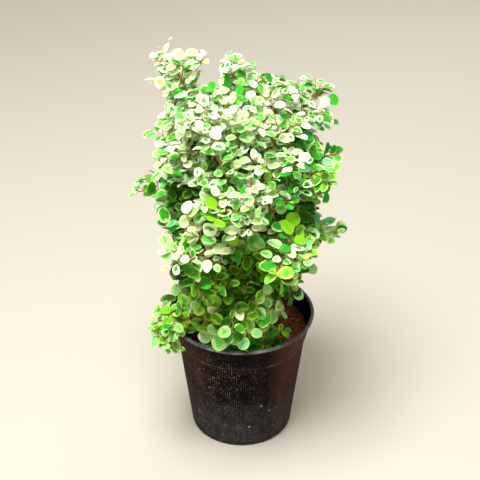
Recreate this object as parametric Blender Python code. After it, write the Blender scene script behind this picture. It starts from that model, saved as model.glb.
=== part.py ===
"""A snow bush in a round nursery pot: slender stems from the soil, boughs that arch outwards from them,
and masses of small rounded leaves on fine twigs. Metres, +Z up, origin at the centre of the pot's underside.
The front of the plant faces -Y, and bearings are counted in degrees from +X towards +Y.
"""

import math
import random

import bmesh
import bpy
import numpy as np

TAU = 2 * math.pi
UP = np.array([0.0, 0.0, 1.0])
LIGHT_SIDE = np.array([0.0, -1.0, 0.0])
# A direction that no limb runs along, to measure a turn about a limb from
SIDEWAYS = np.array([0.31, 0.87, 0.39])
GAP = 0.0003

# Pot
POT_HEIGHT = 0.185
RIM_RADIUS = 0.100
BASE_RADIUS = 0.0705
WALL = 0.0020
FLOOR = 0.0025
LIP_WIDTH = 0.0045
LIP_HEIGHT = 0.0035
COLLAR_DEPTH = 0.037
COLLAR_STEP = 0.0012
COLLAR_INSET = 0.0022
LIP_BEVEL = 0.0008
BODY_TOP_RADIUS = 0.0885
FOOT_ROUND = 0.0030
FOOT_ROUND_SHARE = 0.3
POT_SEGMENTS = 44
SLOT_COUNT = 3
SLOT_BEARING = -48.0
SLOT_WIDTH = 0.014
SLOT_HEIGHT = 0.005
SLOT_REACH = 0.016
SLOT_ROUND = 0.00225
TURNED_SHARP_ANGLE = 30.0

# Soil
SOIL_LEVEL = 0.161
SOIL_EDGE_DROP = 0.003
SOIL_FLAT_RADIUS = 0.070

# Stems
STEM_FOOT_SPREAD = 0.024
STEM_FOOT_RADIUS = 0.0046
STEM_TIP_RADIUS = 0.0019
STEM_BEND_RISE = 0.55
STEM_BEND_DRIFT = 0.10
ROOT_FLARE = 1.7
FOOT_HEIGHT = 0.006
STEM_RINGS = 8
ZIGZAG = 0.0012
LIMB_SIDES = 6
LIMB_SHARP_ANGLE = 50.0
SAMPLE_STEP = 0.002

# Boughs
PATH_POINTS = 32
BOUGH_RINGS = 5
BOUGH_BASE_RADIUS = 0.0020
BOUGH_TIP_RADIUS = 0.0015
BOUGH_SHARE = 0.30
BOUGH_LEAST_START = 0.002
BOUGH_MOST_START = 0.030
BOUGH_START_STEP = 0.0001
MEETING_LENGTH = 0.003

# Clearances of twigs and leaves
SPACE_MARGIN = 0.00025
TWIG_MARGIN = 0.0009
LEAF_MARGIN = 0.0006
RIM_CLEARANCE = 0.0008
SOIL_CLEARANCE = 0.0008
INNER_CLEARANCE = 0.0010
OUTER_CLEARANCE = 0.0025

# Twigs. Each try for a side twig is the share of its full reach and a further turn in degrees.
TWIG_SIDES = 3
MASS_STEM_RADIUS = 0.0015
MASS_STEM_STRAIGHT = 0.024
TWIG_RADIUS = 0.0008
TWIG_TIP_RADIUS = 0.0006
SIDE_TWIGS = 8
FIRST_TWIG_SHARE = 0.08
LAST_TWIG_SHARE = 0.80
TWIG_TURN = 137.5
TURN_JITTER = 15.0
TWIG_SPLAY = 52.0
SPLAY_JITTER = 8.0
TWIG_RISE = 0.12
TWIG_REACH_SHARES = (0.85, 1.05)
TWIG_TRIES = ((1.0, 0.0), (1.0, 40.0), (1.0, -40.0), (0.75, 0.0), (0.75, 60.0), (0.5, 0.0))
TWIG_CLEAR_FROM = 0.005
TWIG_TEST_POINTS = 8

# Leaves. The outline gives, at shares of the length, the share of the half width and of the droop.
LEAF_LENGTH = 0.034
LENGTH_SHARES = (0.92, 1.12)
LEAF_WIDTH_SHARE = 0.76
LEAF_OUTLINE = ((0.28, 0.86, 0.0), (0.70, 0.90, 0.4))
LEAF_PEAK = 0.45
LEAF_THICKNESS_SHARE = 0.036
LEAF_DROOP_SHARE = 0.05
FIRST_LEAF = 0.010
FIRST_STEM_LEAF_SHARE = 0.45
LEAF_SPACING = 0.0140
END_SPACING_SHARE = 0.4
LEAF_SPLAY = 58.0
END_LEAF_SPLAY = 10.0
LEAF_SPLAY_JITTER = 12.0
LEAF_SINK = 0.001
LEAF_TRIES = (1.0, 1.0, 0.85, 0.7)
ROOT_REACH = 0.004
THROUGH_TEST_POINTS = 16
FACING_UP = 0.60
FACING_OUT = 0.55
FACING_LIGHT = 0.20
FACING_JITTER = 0.30
SEED = 11
MASS_SEED = 1100

# The leader of each stem: name, bearing, reach of its tip from the pot's axis, height of its tip
LEADERS = (
    ("left", 171.0, 0.108, 0.566),
    ("back", 96.0, 0.080, 0.540),
    ("right", 20.0, 0.116, 0.516),
    ("front_right", 312.0, 0.078, 0.500),
    ("front_left", 240.0, 0.076, 0.526),
)
LEADER_LENGTH = 0.125
LEADER_WIDTH = 0.058
LEADER_LEAN = 0.45
LEADER_BEND_SHARE = 0.5

# Tiers of boughs: name, count, first bearing, offset of the tier's centre along X, reach of its tips,
# height of its tips, height where its boughs leave the stems, half width of its masses
TIERS = (
    ("skirt", 6, 30.0, -0.006, 0.108, 0.266, 0.205, 0.055),
    ("middle", 6, 0.0, 0.000, 0.146, 0.352, 0.255, 0.058),
    ("upper", 6, 30.0, -0.008, 0.134, 0.440, 0.335, 0.058),
)
TIER_TILT = -0.07
TIER_STAGGER = 0.012
TIP_JITTER = 0.006
START_JITTER = 0.008
ARCH_OUT = 0.45
ARCH_RISE_SHARE = 0.75
ARCH_RISE = 0.016
END_ROOM = 0.004
END_LEAF_ROOM = 0.030

# Low shoots from the soil: name, foot x and y, bend x, y, z, tip x, y, z, half width
SHOOTS = (
    ("left", (-0.048, -0.030), (-0.066, -0.040, 0.250), (-0.119, -0.064, 0.172), 0.040),
    ("front", (-0.006, -0.040), (-0.006, -0.050, 0.240), (0.000, -0.100, 0.228), 0.052),
    ("right", (0.044, -0.020), (0.054, -0.034, 0.230), (0.080, -0.064, 0.220), 0.042),
)
SHOOT_RADIUS = 0.0022
SHOOT_SHARE = 0.40

# Colours as linear red, green, blue, and roughness
POT_BLACK = (0.020, 0.016, 0.015)
POT_ROUGHNESS = 0.55
SOIL_RED = (0.130, 0.042, 0.020)
SOIL_ROUGHNESS = 0.95
BARK_BROWN = (0.120, 0.055, 0.032)
BARK_ROUGHNESS = 0.80
LEAF_ROUGHNESS = 0.45
LEAF_TINTS = {
    "leader": (0.72, 0.80, 0.60),
    "upper": (0.55, 0.72, 0.42),
    "middle": (0.33, 0.58, 0.24),
    "skirt": (0.16, 0.42, 0.10),
    "shoot": (0.20, 0.50, 0.08),
}


def clear_scene():
    for obj in list(bpy.data.objects):
        bpy.data.objects.remove(obj, do_unlink=True)


def make_material(name, colour, roughness):
    material = bpy.data.materials.new(name)
    material.use_nodes = True
    shader = material.node_tree.nodes["Principled BSDF"]
    shader.inputs["Base Color"].default_value = (*colour, 1.0)
    shader.inputs["Roughness"].default_value = roughness
    shader.inputs["Metallic"].default_value = 0.0
    return material


def make_object(name, vertices, faces, material=None):
    mesh = bpy.data.meshes.new(name)
    mesh.from_pydata([tuple(map(float, v)) for v in vertices], [], [tuple(f) for f in faces])
    obj = bpy.data.objects.new(name, mesh)
    bpy.context.scene.collection.objects.link(obj)
    if material:
        mesh.materials.append(material)
    return obj


def unit(vector):
    return vector / np.linalg.norm(vector)


def place(reach, bearing, height, centre_x=0.0):
    angle = math.radians(bearing)
    return np.array([centre_x + reach * math.cos(angle), reach * math.sin(angle), height])


# Turned pieces


def turn(name, profile, material):
    """A closed solid turned about Z from (radius, height) points, the first and last on the axis."""
    angles = [TAU * k / POT_SEGMENTS for k in range(POT_SEGMENTS)]
    vertices = [(0.0, 0.0, profile[0][1])]
    for radius, height in profile[1:-1]:
        vertices += [(radius * math.cos(a), radius * math.sin(a), height) for a in angles]
    vertices.append((0.0, 0.0, profile[-1][1]))
    last = len(vertices) - 1
    rings = len(profile) - 2
    faces = []
    for k in range(POT_SEGMENTS):
        after = (k + 1) % POT_SEGMENTS
        faces.append((0, 1 + after, 1 + k))
        for ring in range(rings - 1):
            low = 1 + ring * POT_SEGMENTS
            high = low + POT_SEGMENTS
            faces.append((low + k, low + after, high + after, high + k))
        top = 1 + (rings - 1) * POT_SEGMENTS
        faces.append((top + k, top + after, last))
    obj = make_object(name, vertices, faces, material)
    obj.data.shade_smooth()
    obj.data.set_sharp_from_angle(angle=math.radians(TURNED_SHARP_ANGLE))
    return obj


def body_radius(height):
    """Outer radius of the pot's tapered body, below its collar."""
    step_height = POT_HEIGHT - COLLAR_DEPTH
    return BASE_RADIUS + (BODY_TOP_RADIUS - BASE_RADIUS) * height / step_height


def pot_profile():
    step = POT_HEIGHT - COLLAR_DEPTH
    under_lip = POT_HEIGHT - LIP_HEIGHT
    collar_top = RIM_RADIUS - COLLAR_INSET
    inner_lip = RIM_RADIUS - LIP_WIDTH
    return [
        (0.0, 0.0),
        (BASE_RADIUS - FOOT_ROUND, 0.0),
        (BASE_RADIUS - FOOT_ROUND_SHARE * FOOT_ROUND, FOOT_ROUND_SHARE * FOOT_ROUND),
        (body_radius(FOOT_ROUND), FOOT_ROUND),
        (BODY_TOP_RADIUS, step),
        (BODY_TOP_RADIUS + COLLAR_STEP, step + COLLAR_STEP),
        (collar_top, under_lip),
        (RIM_RADIUS, under_lip + LIP_BEVEL),
        (RIM_RADIUS, POT_HEIGHT - LIP_BEVEL),
        (RIM_RADIUS - LIP_BEVEL, POT_HEIGHT),
        (inner_lip + LIP_BEVEL, POT_HEIGHT),
        (inner_lip, POT_HEIGHT - LIP_BEVEL),
        (collar_top - WALL, under_lip),
        (BODY_TOP_RADIUS + COLLAR_STEP - WALL, step + COLLAR_STEP),
        (BODY_TOP_RADIUS - WALL, step),
        (body_radius(FLOOR) - WALL, FLOOR),
        (0.0, FLOOR),
    ]


def add_pot(material):
    """The pot, with drain slots cut through the foot of its wall."""
    pot = turn("pot", pot_profile(), material)
    for k in range(SLOT_COUNT):
        angle = math.radians(SLOT_BEARING + 360.0 * k / SLOT_COUNT)
        bpy.ops.mesh.primitive_cube_add(size=1.0)
        cutter = bpy.context.object
        cutter.name = f"slot_cutter_{k + 1}"
        cutter.scale = (SLOT_REACH, SLOT_WIDTH, 2 * SLOT_HEIGHT)
        bpy.ops.object.transform_apply(location=False, rotation=False, scale=True)
        bevel = cutter.modifiers.new("round", "BEVEL")
        bevel.width = SLOT_ROUND
        bevel.segments = 2
        cutter.location = (BASE_RADIUS * math.cos(angle), BASE_RADIUS * math.sin(angle), 0.0)
        cutter.rotation_euler = (0.0, 0.0, angle)
        cutter.hide_render = True
        cutter.display_type = "WIRE"
        cut = pot.modifiers.new(f"slot_{k + 1}", "BOOLEAN")
        cut.operation = "DIFFERENCE"
        cut.object = cutter
    return pot


def add_soil(material):
    """Soil that fills the pot to below its rim, flat where the stems stand."""
    step = POT_HEIGHT - COLLAR_DEPTH
    inside = WALL + GAP
    collar_foot = BODY_TOP_RADIUS + COLLAR_STEP
    slope = (RIM_RADIUS - COLLAR_INSET - collar_foot) / (COLLAR_DEPTH - LIP_HEIGHT - COLLAR_STEP)
    edge = SOIL_LEVEL - SOIL_EDGE_DROP
    edge_radius = collar_foot + slope * (edge - step - COLLAR_STEP) - inside
    profile = [
        (0.0, FLOOR + GAP),
        (body_radius(FLOOR + GAP) - inside, FLOOR + GAP),
        (BODY_TOP_RADIUS - inside, step),
        (collar_foot - inside, step + COLLAR_STEP),
        (edge_radius, edge),
        (SOIL_FLAT_RADIUS, SOIL_LEVEL),
        (0.0, SOIL_LEVEL),
    ]
    return turn("soil", profile, material)


# Limbs


def arch(start, bend, end, count):
    """Points of the curve that leaves start towards bend and reaches end from there."""
    t = np.linspace(0.0, 1.0, count)[:, None]
    return (1 - t) ** 2 * start + 2 * t * (1 - t) * bend + t**2 * end


def measured(points):
    """Distance along the points up to each of them."""
    steps = np.linalg.norm(np.diff(points, axis=0), axis=1)
    return np.concatenate([[0.0], np.cumsum(steps)])


def along(points, distances):
    """Points at the given distances along a line of points."""
    reached = measured(points)
    return np.stack([np.interp(distances, reached, points[:, axis]) for axis in range(3)], axis=-1)


def stretch(points, start, end, count):
    """The part of a line of points between two distances, with evenly spaced points."""
    return along(points, np.linspace(start, end, count))


def tube(points, radii, sides):
    """Vertices and faces of a closed tapering tube along points."""
    tangents = np.gradient(points, axis=0)
    side = np.cross(tangents[0], SIDEWAYS)
    vertices = []
    for point, tangent, radius in zip(points, tangents, radii):
        forward = unit(tangent)
        side = unit(side - forward * side.dot(forward))
        other = np.cross(forward, side)
        for k in range(sides):
            angle = TAU * k / sides
            vertices.append(point + radius * (math.cos(angle) * side + math.sin(angle) * other))
    faces = [tuple(reversed(range(sides)))]
    for ring in range(len(points) - 1):
        low = ring * sides
        for k in range(sides):
            after = (k + 1) % sides
            faces.append((low + k, low + after, low + sides + after, low + sides + k))
    faces.append(tuple(range(len(vertices) - sides, len(vertices))))
    return vertices, faces


class Limb:
    """A stem or bough: its centre line, its radii, and points along it for keeping leaves clear of it."""

    def __init__(self, name, points, radii, stands=False):
        self.name = name
        if stands:
            points = np.insert(points, 1, points[0] + UP * FOOT_HEIGHT, axis=0)
            radii = np.insert(radii, 1, radii[0])
            radii[0] *= ROOT_FLARE
        self.points = points
        self.radii = radii
        length = measured(points)[-1]
        distances = np.arange(0.0, length + 0.5 * SAMPLE_STEP, SAMPLE_STEP)
        self.samples = along(points, distances)
        self.sample_radii = np.interp(distances, measured(points), radii)

    def at_height(self, height):
        return np.array([np.interp(height, self.points[:, 2], self.points[:, axis]) for axis in range(3)])

    def build(self, material):
        vertices, faces = tube(self.points, self.radii, LIMB_SIDES)
        obj = make_object(self.name, vertices, faces, material)
        obj.data.shade_smooth()
        obj.data.set_sharp_from_angle(angle=math.radians(LIMB_SHARP_ANGLE))
        return obj


def make_stem(name, bearing, tip, rng):
    """A stem from its flat foot on the soil to the base of its leader, with a root flare and faint zigzag."""
    foot = place(STEM_FOOT_SPREAD, bearing, SOIL_LEVEL + GAP)
    bend = foot + (tip - foot) * [STEM_BEND_DRIFT, STEM_BEND_DRIFT, STEM_BEND_RISE]
    points = arch(foot, bend, tip, STEM_RINGS)
    for k in range(2, STEM_RINGS - 1):
        turn_angle = rng.uniform(0.0, TAU)
        points[k] += ZIGZAG * np.array([math.cos(turn_angle), math.sin(turn_angle), 0.0])
    reached = measured(points) / measured(points)[-1]
    radii = STEM_FOOT_RADIUS + (STEM_TIP_RADIUS - STEM_FOOT_RADIUS) * reached
    return Limb(name, points, radii, stands=True)


def clear_start(path, host, radius):
    """Distance along path where a flat end of this radius is just clear of the host stem."""
    for distance in np.arange(BOUGH_LEAST_START, BOUGH_MOST_START, BOUGH_START_STEP):
        point, ahead = along(path, np.array([distance, distance + MEETING_LENGTH]))
        vertices, _ = tube(np.array([point, ahead]), [radius, radius], LIMB_SIDES)
        ring = np.array(vertices[:LIMB_SIDES])
        away = np.linalg.norm(ring[:, None, :] - host.samples[None, :, :], axis=2) - host.sample_radii
        if away.min() >= GAP:
            return distance
    raise ValueError(f"nothing of {host.name}'s branch is clear of it")


# The room of a mass


class Space:
    """The room of one mass: an egg round its own stem, cut by the planes halfway to the other masses."""

    def __init__(self, base, tip, half_width):
        self.centre = (base + tip) / 2
        self.axis = unit(tip - base)
        self.half_length = np.linalg.norm(tip - base) / 2 + END_ROOM
        self.half_width = half_width
        self.planes = []

    def part_from(self, other):
        normal = unit(other.centre - self.centre)
        limit = normal.dot((other.centre + self.centre) / 2) - SPACE_MARGIN
        self.planes.append((normal, limit))

    def holds(self, points):
        offset = points - self.centre
        lengthwise = offset @ self.axis
        across = np.linalg.norm(offset - lengthwise[:, None] * self.axis, axis=1)
        egg = (lengthwise / self.half_length) ** 2 + (across / self.half_width) ** 2
        if (egg > 1.0).any():
            return False
        return all((points @ normal < limit).all() for normal, limit in self.planes)


def clear_of_pot(points):
    """True where the points are all above the rim, all inside it above the soil, or all outside the wall."""
    reach = np.hypot(points[:, 0], points[:, 1])
    above_rim = (points[:, 2] > POT_HEIGHT + RIM_CLEARANCE).all()
    above_soil = (points[:, 2] > SOIL_LEVEL + SOIL_CLEARANCE).all()
    inside = (reach < BODY_TOP_RADIUS - WALL - INNER_CLEARANCE).all()
    outside = (reach > RIM_RADIUS + OUTER_CLEARANCE).all()
    return above_rim or (inside and above_soil) or outside


# Leaves


class Leaf:
    """A rounded leaf, thickest near its middle and drooping a little at its end."""

    def __init__(self, root, direction, facing, length):
        direction = unit(direction)
        normal = unit(facing - direction * facing.dot(direction))
        self.frame = np.array([direction, np.cross(normal, direction), normal])
        self.length = length
        half = 0.5 * LEAF_WIDTH_SHARE
        one_side = [(u, half * v, -LEAF_DROOP_SHARE * w) for u, v, w in LEAF_OUTLINE]
        other_side = [(u, -v, w) for u, v, w in reversed(one_side)]
        outline = [(0.0, 0.0, 0.0), *one_side, (1.0, 0.0, -LEAF_DROOP_SHARE), *other_side]
        middle = (LEAF_PEAK, 0.0, LEAF_THICKNESS_SHARE)
        self.vertices = root + length * np.array([*outline, middle]) @ self.frame
        self.outline = self.vertices[: len(outline)]
        self.centre = root + 0.5 * length * direction

    def faces(self):
        count = len(self.outline)
        tip = count // 2
        top = [(k, (k + 1) % count, count) for k in range(count)]
        under = [(tip, (tip + k + 1) % count, (tip + k) % count) for k in range(1, count - 1)]
        return top + under

    def in_oval(self, places, margin):
        """Which places, in the leaf's own frame, are over its oval."""
        lengthwise = places[:, 0] / (0.5 * self.length + margin)
        across = places[:, 1] / (0.5 * LEAF_WIDTH_SHARE * self.length + margin)
        return lengthwise**2 + across**2 < 1.0

    def touched_by(self, points, radii):
        """True where a round point comes within the leaf."""
        places = (points - self.centre) @ self.frame.T
        margin = radii + LEAF_MARGIN
        thickness = (LEAF_THICKNESS_SHARE + LEAF_DROOP_SHARE) * self.length
        return bool((self.in_oval(places, margin) & (np.abs(places[:, 2]) < margin + thickness)).any())

    def crossed_by(self, starts, ends):
        """True where a straight line from a start to its end passes through the leaf."""
        first = (starts - self.centre) @ self.frame.T
        last = (ends - self.centre) @ self.frame.T
        through = first[:, 2] * last[:, 2] < 0.0
        first, last = first[through], last[through]
        share = first[:, 2] / (first[:, 2] - last[:, 2])
        return bool(self.in_oval(first + share[:, None] * (last - first), LEAF_MARGIN).any())

    def meets(self, other):
        """True where two leaves cross each other or lie within a hair of each other."""
        if np.linalg.norm(self.centre - other.centre) > self.length + other.length:
            return False
        for one, two in ((self, other), (other, self)):
            if one.crossed_by(two.outline, np.roll(two.outline, 1, axis=0)):
                return True
            if one.touched_by(two.outline, 0.0):
                return True
        return False


def facing_of(point, rng):
    """The way a leaf faces: up, outwards from the crown, towards the light, and a little at random."""
    outward = unit(np.array([point[0], point[1] + 0.0001, 0.0]))
    jitter = np.array([rng.gauss(0.0, FACING_JITTER) for _ in range(3)])
    return unit(FACING_UP * UP + FACING_OUT * outward + FACING_LIGHT * LIGHT_SIDE + jitter)


class Growth:
    """The twigs and leaves of one mass, grown from its stem by a seeded rule and kept to its space."""

    def __init__(self, space, stem, limbs, rng):
        self.space = space
        self.rng = rng
        self.twigs = [(stem.points, stem.radii)]
        self.leaves = []
        points = np.concatenate([limb.samples for limb in limbs])
        radii = np.concatenate([limb.sample_radii for limb in limbs])
        near = np.linalg.norm(points - space.centre, axis=1) < space.half_length + space.half_width
        self.limb_points = points[near]
        self.limb_radii = radii[near]
        self.grow_all(stem.points)

    def fits(self, points):
        return self.space.holds(points) and clear_of_pot(points)

    def twig_fits(self, points):
        """True where a twig keeps to the space, and clear of limbs and of the leaves so far."""
        away = np.linalg.norm(points[:, None, :] - self.limb_points[None, :, :], axis=2)
        clear = (away > self.limb_radii + TWIG_RADIUS + TWIG_MARGIN).all()
        crossed = any(leaf.crossed_by(points[:-1], points[1:]) for leaf in self.leaves)
        return clear and not crossed and self.fits(points)

    def grow_all(self, path):
        """Leaves on the mass's own stem, and side twigs turned about it with leaves on them."""
        length = measured(path)[-1]
        self.grow_leaves(path, FIRST_STEM_LEAF_SHARE * length, length)
        turn_angle = self.rng.uniform(0.0, 360.0)
        for share in np.linspace(FIRST_TWIG_SHARE, LAST_TWIG_SHARE, SIDE_TWIGS):
            turn_angle += TWIG_TURN + self.rng.uniform(-TURN_JITTER, TURN_JITTER)
            self.grow_twig(path, share * length, turn_angle)

    def grow_twig(self, path, distance, turn_angle):
        """One side twig, turned on and cut shorter until it fits, and ended at its last leaf."""
        start, ahead = along(path, np.array([distance, distance + SAMPLE_STEP]))
        forward = unit(ahead - start)
        side = unit(np.cross(forward, SIDEWAYS))
        splay = math.radians(TWIG_SPLAY + self.rng.uniform(-SPLAY_JITTER, SPLAY_JITTER))
        reach = self.space.half_width * self.rng.uniform(*TWIG_REACH_SHARES)
        for share, more in TWIG_TRIES:
            angle = math.radians(turn_angle + more)
            outward = math.cos(angle) * side + math.sin(angle) * np.cross(forward, side)
            direction = math.cos(splay) * forward + math.sin(splay) * outward
            points = np.array([start, start + reach * share * unit(direction + TWIG_RISE * UP)])
            if not self.twig_fits(stretch(points, TWIG_CLEAR_FROM, measured(points)[-1], TWIG_TEST_POINTS)):
                continue
            last = self.grow_leaves(points, FIRST_LEAF, measured(points)[-1])
            if last:
                points = stretch(points, 0.0, last, 2)
                self.twigs.append((points, np.array([TWIG_RADIUS, TWIG_TIP_RADIUS])))
                return

    def grow_leaves(self, path, first, length):
        """Leaves in two ranks along a twig, with one that ends it. Returns the distance of the last."""
        side = self.rng.choice((-1, 1))
        last = 0.0
        for distance in np.arange(first, length - END_SPACING_SHARE * LEAF_SPACING, LEAF_SPACING):
            if self.add_leaf(path, distance, side, LEAF_SPLAY):
                last = distance + LEAF_SINK
            side = -side
        if self.add_leaf(path, length - LEAF_SINK, side, END_LEAF_SPLAY):
            last = length
        return last

    def add_leaf(self, path, distance, side, splay):
        """A leaf on a twig, turned or made smaller until it fits. Returns False where none does."""
        point, behind = along(path, np.array([distance, distance - LEAF_SINK]))
        forward = unit(point - behind)
        for shrink in LEAF_TRIES:
            facing = facing_of(point, self.rng)
            across = unit(np.cross(facing, forward))
            angle = math.radians(splay + self.rng.uniform(-LEAF_SPLAY_JITTER, LEAF_SPLAY_JITTER))
            direction = math.cos(angle) * forward + side * math.sin(angle) * across
            length = shrink * LEAF_LENGTH * self.rng.uniform(*LENGTH_SHARES)
            leaf = Leaf(point, direction, facing, length)
            if not self.fits(leaf.vertices) or leaf.touched_by(self.limb_points, self.limb_radii):
                continue
            if any(leaf.meets(old) for old in self.leaves):
                continue
            if any(self.is_through(leaf, twig, point) for twig, _ in self.twigs):
                continue
            self.leaves.append(leaf)
            return True
        return False

    def is_through(self, leaf, twig, root):
        """True where a twig passes through the leaf away from the leaf's root."""
        points = stretch(twig, 0.0, measured(twig)[-1], THROUGH_TEST_POINTS)
        away = np.linalg.norm(points - root, axis=1) > ROOT_REACH
        both = away[:-1] & away[1:]
        return leaf.crossed_by(points[:-1][both], points[1:][both])


# Fusing


def is_closed(mesh):
    shape = bmesh.new()
    shape.from_mesh(mesh)
    closed = bool(shape.faces) and all(edge.is_manifold for edge in shape.edges)
    shape.free()
    return closed


def keep_main_body(mesh):
    """Triangulates the mesh and drops loose scraps and sealed hollows, which leaves the one outer body."""
    shape = bmesh.new()
    shape.from_mesh(mesh)
    bmesh.ops.triangulate(shape, faces=shape.faces)
    unseen = set(shape.faces)
    bodies = []
    while unseen:
        first = unseen.pop()
        body = [first]
        for face in body:
            for edge in face.edges:
                linked = [other for other in edge.link_faces if other in unseen]
                unseen.difference_update(linked)
                body += linked
        bodies.append(body)
    bodies.sort(key=len)
    scraps = [face for body in bodies[:-1] for face in body]
    bmesh.ops.delete(shape, geom=scraps, context="FACES")
    shape.to_mesh(mesh)
    shape.free()


def fuse(name, growth, material):
    """One closed solid of a mass's stem, twigs and leaves, by one union on a collection."""
    stem_points, stem_radii = growth.twigs[0]
    mass = make_object(name, *tube(stem_points, stem_radii, TWIG_SIDES), material)
    grown = bpy.data.collections.new(f"{name}_growth")
    bpy.context.scene.collection.children.link(grown)
    shapes = [tube(points, radii, TWIG_SIDES) for points, radii in growth.twigs[1:]]
    shapes += [(leaf.vertices, leaf.faces()) for leaf in growth.leaves]
    for k, (vertices, faces) in enumerate(shapes):
        piece = make_object(f"{name}_piece_{k}", vertices, faces)
        bpy.context.scene.collection.objects.unlink(piece)
        grown.objects.link(piece)
    union = mass.modifiers.new("union", "BOOLEAN")
    union.operation = "UNION"
    union.operand_type = "COLLECTION"
    union.collection = grown
    for solver in ("EXACT", "MANIFOLD"):
        union.solver = solver
        graph = bpy.context.evaluated_depsgraph_get()
        fused = bpy.data.meshes.new_from_object(mass.evaluated_get(graph))
        if is_closed(fused):
            break
    mass.modifiers.remove(union)
    mass.data = fused
    mass.data.name = name
    keep_main_body(mass.data)
    for piece in list(grown.objects):
        bpy.data.objects.remove(piece, do_unlink=True)
    bpy.data.collections.remove(grown)
    return mass


# The plant


class Branch:
    """A bough and the mass at its tip, as one arching line that is split between them."""

    def __init__(self, name, kind, path, start, share, half_width, radii, stands=False):
        self.name = name
        self.kind = kind
        length = measured(path)[-1]
        split = start + share * (length - start)
        base, ahead = along(path, np.array([split, split + MEETING_LENGTH]))
        forward = unit(ahead - base)
        self.limb = None
        if share:
            points = stretch(path, start, split, BOUGH_RINGS)
            forward = unit(points[-1] - points[-2])
            self.limb = Limb(f"bough_{name}", points, np.linspace(*radii, BOUGH_RINGS), stands)
        meeting = np.array([base + GAP * forward, base + (GAP + MEETING_LENGTH) * forward])
        rest = stretch(path, split + MASS_STEM_STRAIGHT, length - END_LEAF_ROOM, 2)
        stem_radii = np.linspace(MASS_STEM_RADIUS, TWIG_RADIUS, len(meeting) + len(rest))
        self.stem = Limb(f"leaves_{name}", np.concatenate([meeting, rest]), stem_radii)
        self.space = Space(base, path[-1], half_width)


def leader_branches(stems, tips):
    """The mass that continues each stem from its tip to the top of the crown."""
    branches = []
    for (name, _, _, _), stem, tip in zip(LEADERS, stems, tips):
        forward = unit(stem.points[-1] - stem.points[-2])
        base = stem.points[-1]
        bend = base + LEADER_BEND_SHARE * np.linalg.norm(tip - base) * forward
        path = arch(base, bend, tip, PATH_POINTS)
        branches.append(Branch(f"top_{name}", "leader", path, 0.0, 0.0, LEADER_WIDTH, None))
    return branches


def tier_branches(stems, rng):
    """The boughs of each tier, which arch outwards from the nearest stem."""
    branches = []
    for name, count, first, centre_x, reach, height, start_height, half_width in TIERS:
        for k in range(count):
            tip = place(reach, first + 360.0 * k / count, height, centre_x)
            tip += [rng.uniform(-TIP_JITTER, TIP_JITTER) for _ in range(3)]
            tip[2] += TIER_TILT * tip[0] + (TIER_STAGGER if k % 2 else -TIER_STAGGER)
            host = min(stems, key=lambda stem: np.linalg.norm((stem.at_height(start_height) - tip)[:2]))
            foot = host.at_height(start_height + rng.uniform(-START_JITTER, START_JITTER))
            bend = foot + (tip - foot) * [ARCH_OUT, ARCH_OUT, ARCH_RISE_SHARE] + UP * ARCH_RISE
            path = arch(foot, bend, tip, PATH_POINTS)
            start = clear_start(path, host, BOUGH_BASE_RADIUS)
            radii = (BOUGH_BASE_RADIUS, BOUGH_TIP_RADIUS)
            branches.append(Branch(f"{name}_{k + 1}", name, path, start, BOUGH_SHARE, half_width, radii))
    return branches


def shoot_branches():
    """Short shoots straight from the soil, one of them over the pot's rim."""
    branches = []
    for name, foot, bend, tip, half_width in SHOOTS:
        foot = np.array([*foot, SOIL_LEVEL + GAP])
        path = arch(foot, np.array(bend), np.array(tip), PATH_POINTS)
        radii = (SHOOT_RADIUS, BOUGH_TIP_RADIUS)
        branch = Branch(f"low_{name}", "shoot", path, 0.0, SHOOT_SHARE, half_width, radii, stands=True)
        branches.append(branch)
    return branches


def add_plant(bark, leaf_materials):
    rng = random.Random(SEED)
    tips = [place(reach, bearing, height) for _, bearing, reach, height in LEADERS]
    stems = []
    for (name, bearing, reach, _), tip in zip(LEADERS, tips):
        end = place(LEADER_LEAN * reach, bearing, tip[2] - LEADER_LENGTH)
        stems.append(make_stem(f"stem_{name}", bearing, end, rng))
    branches = leader_branches(stems, tips) + tier_branches(stems, rng) + shoot_branches()
    for branch in branches:
        for other in branches:
            if other is not branch:
                branch.space.part_from(other.space)
    limbs = stems + [branch.limb for branch in branches if branch.limb]
    for limb in limbs:
        limb.build(bark)
    for k, branch in enumerate(branches):
        in_the_way = limbs + [other.stem for other in branches if other is not branch]
        growth = Growth(branch.space, branch.stem, in_the_way, random.Random(MASS_SEED + k))
        fuse(branch.stem.name, growth, leaf_materials[branch.kind])


def main():
    clear_scene()
    add_pot(make_material("black_plastic", POT_BLACK, POT_ROUGHNESS))
    add_soil(make_material("red_soil", SOIL_RED, SOIL_ROUGHNESS))
    bark = make_material("brown_bark", BARK_BROWN, BARK_ROUGHNESS)
    leaves = {kind: make_material(f"leaf_{kind}", tint, LEAF_ROUGHNESS) for kind, tint in LEAF_TINTS.items()}
    add_plant(bark, leaves)


main()
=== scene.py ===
"""The looks of a snow bush in a round nursery pot: worn black plastic, crumbly red soil, bark on the stems
and boughs, and fine twigs with small rounded leaves. Metres, +Z up. The front of the plant faces -Y, and
bearings are counted in degrees from +X towards +Y.
"""

import math
import random

import bpy
import numpy as np
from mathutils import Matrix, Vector, noise


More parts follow.
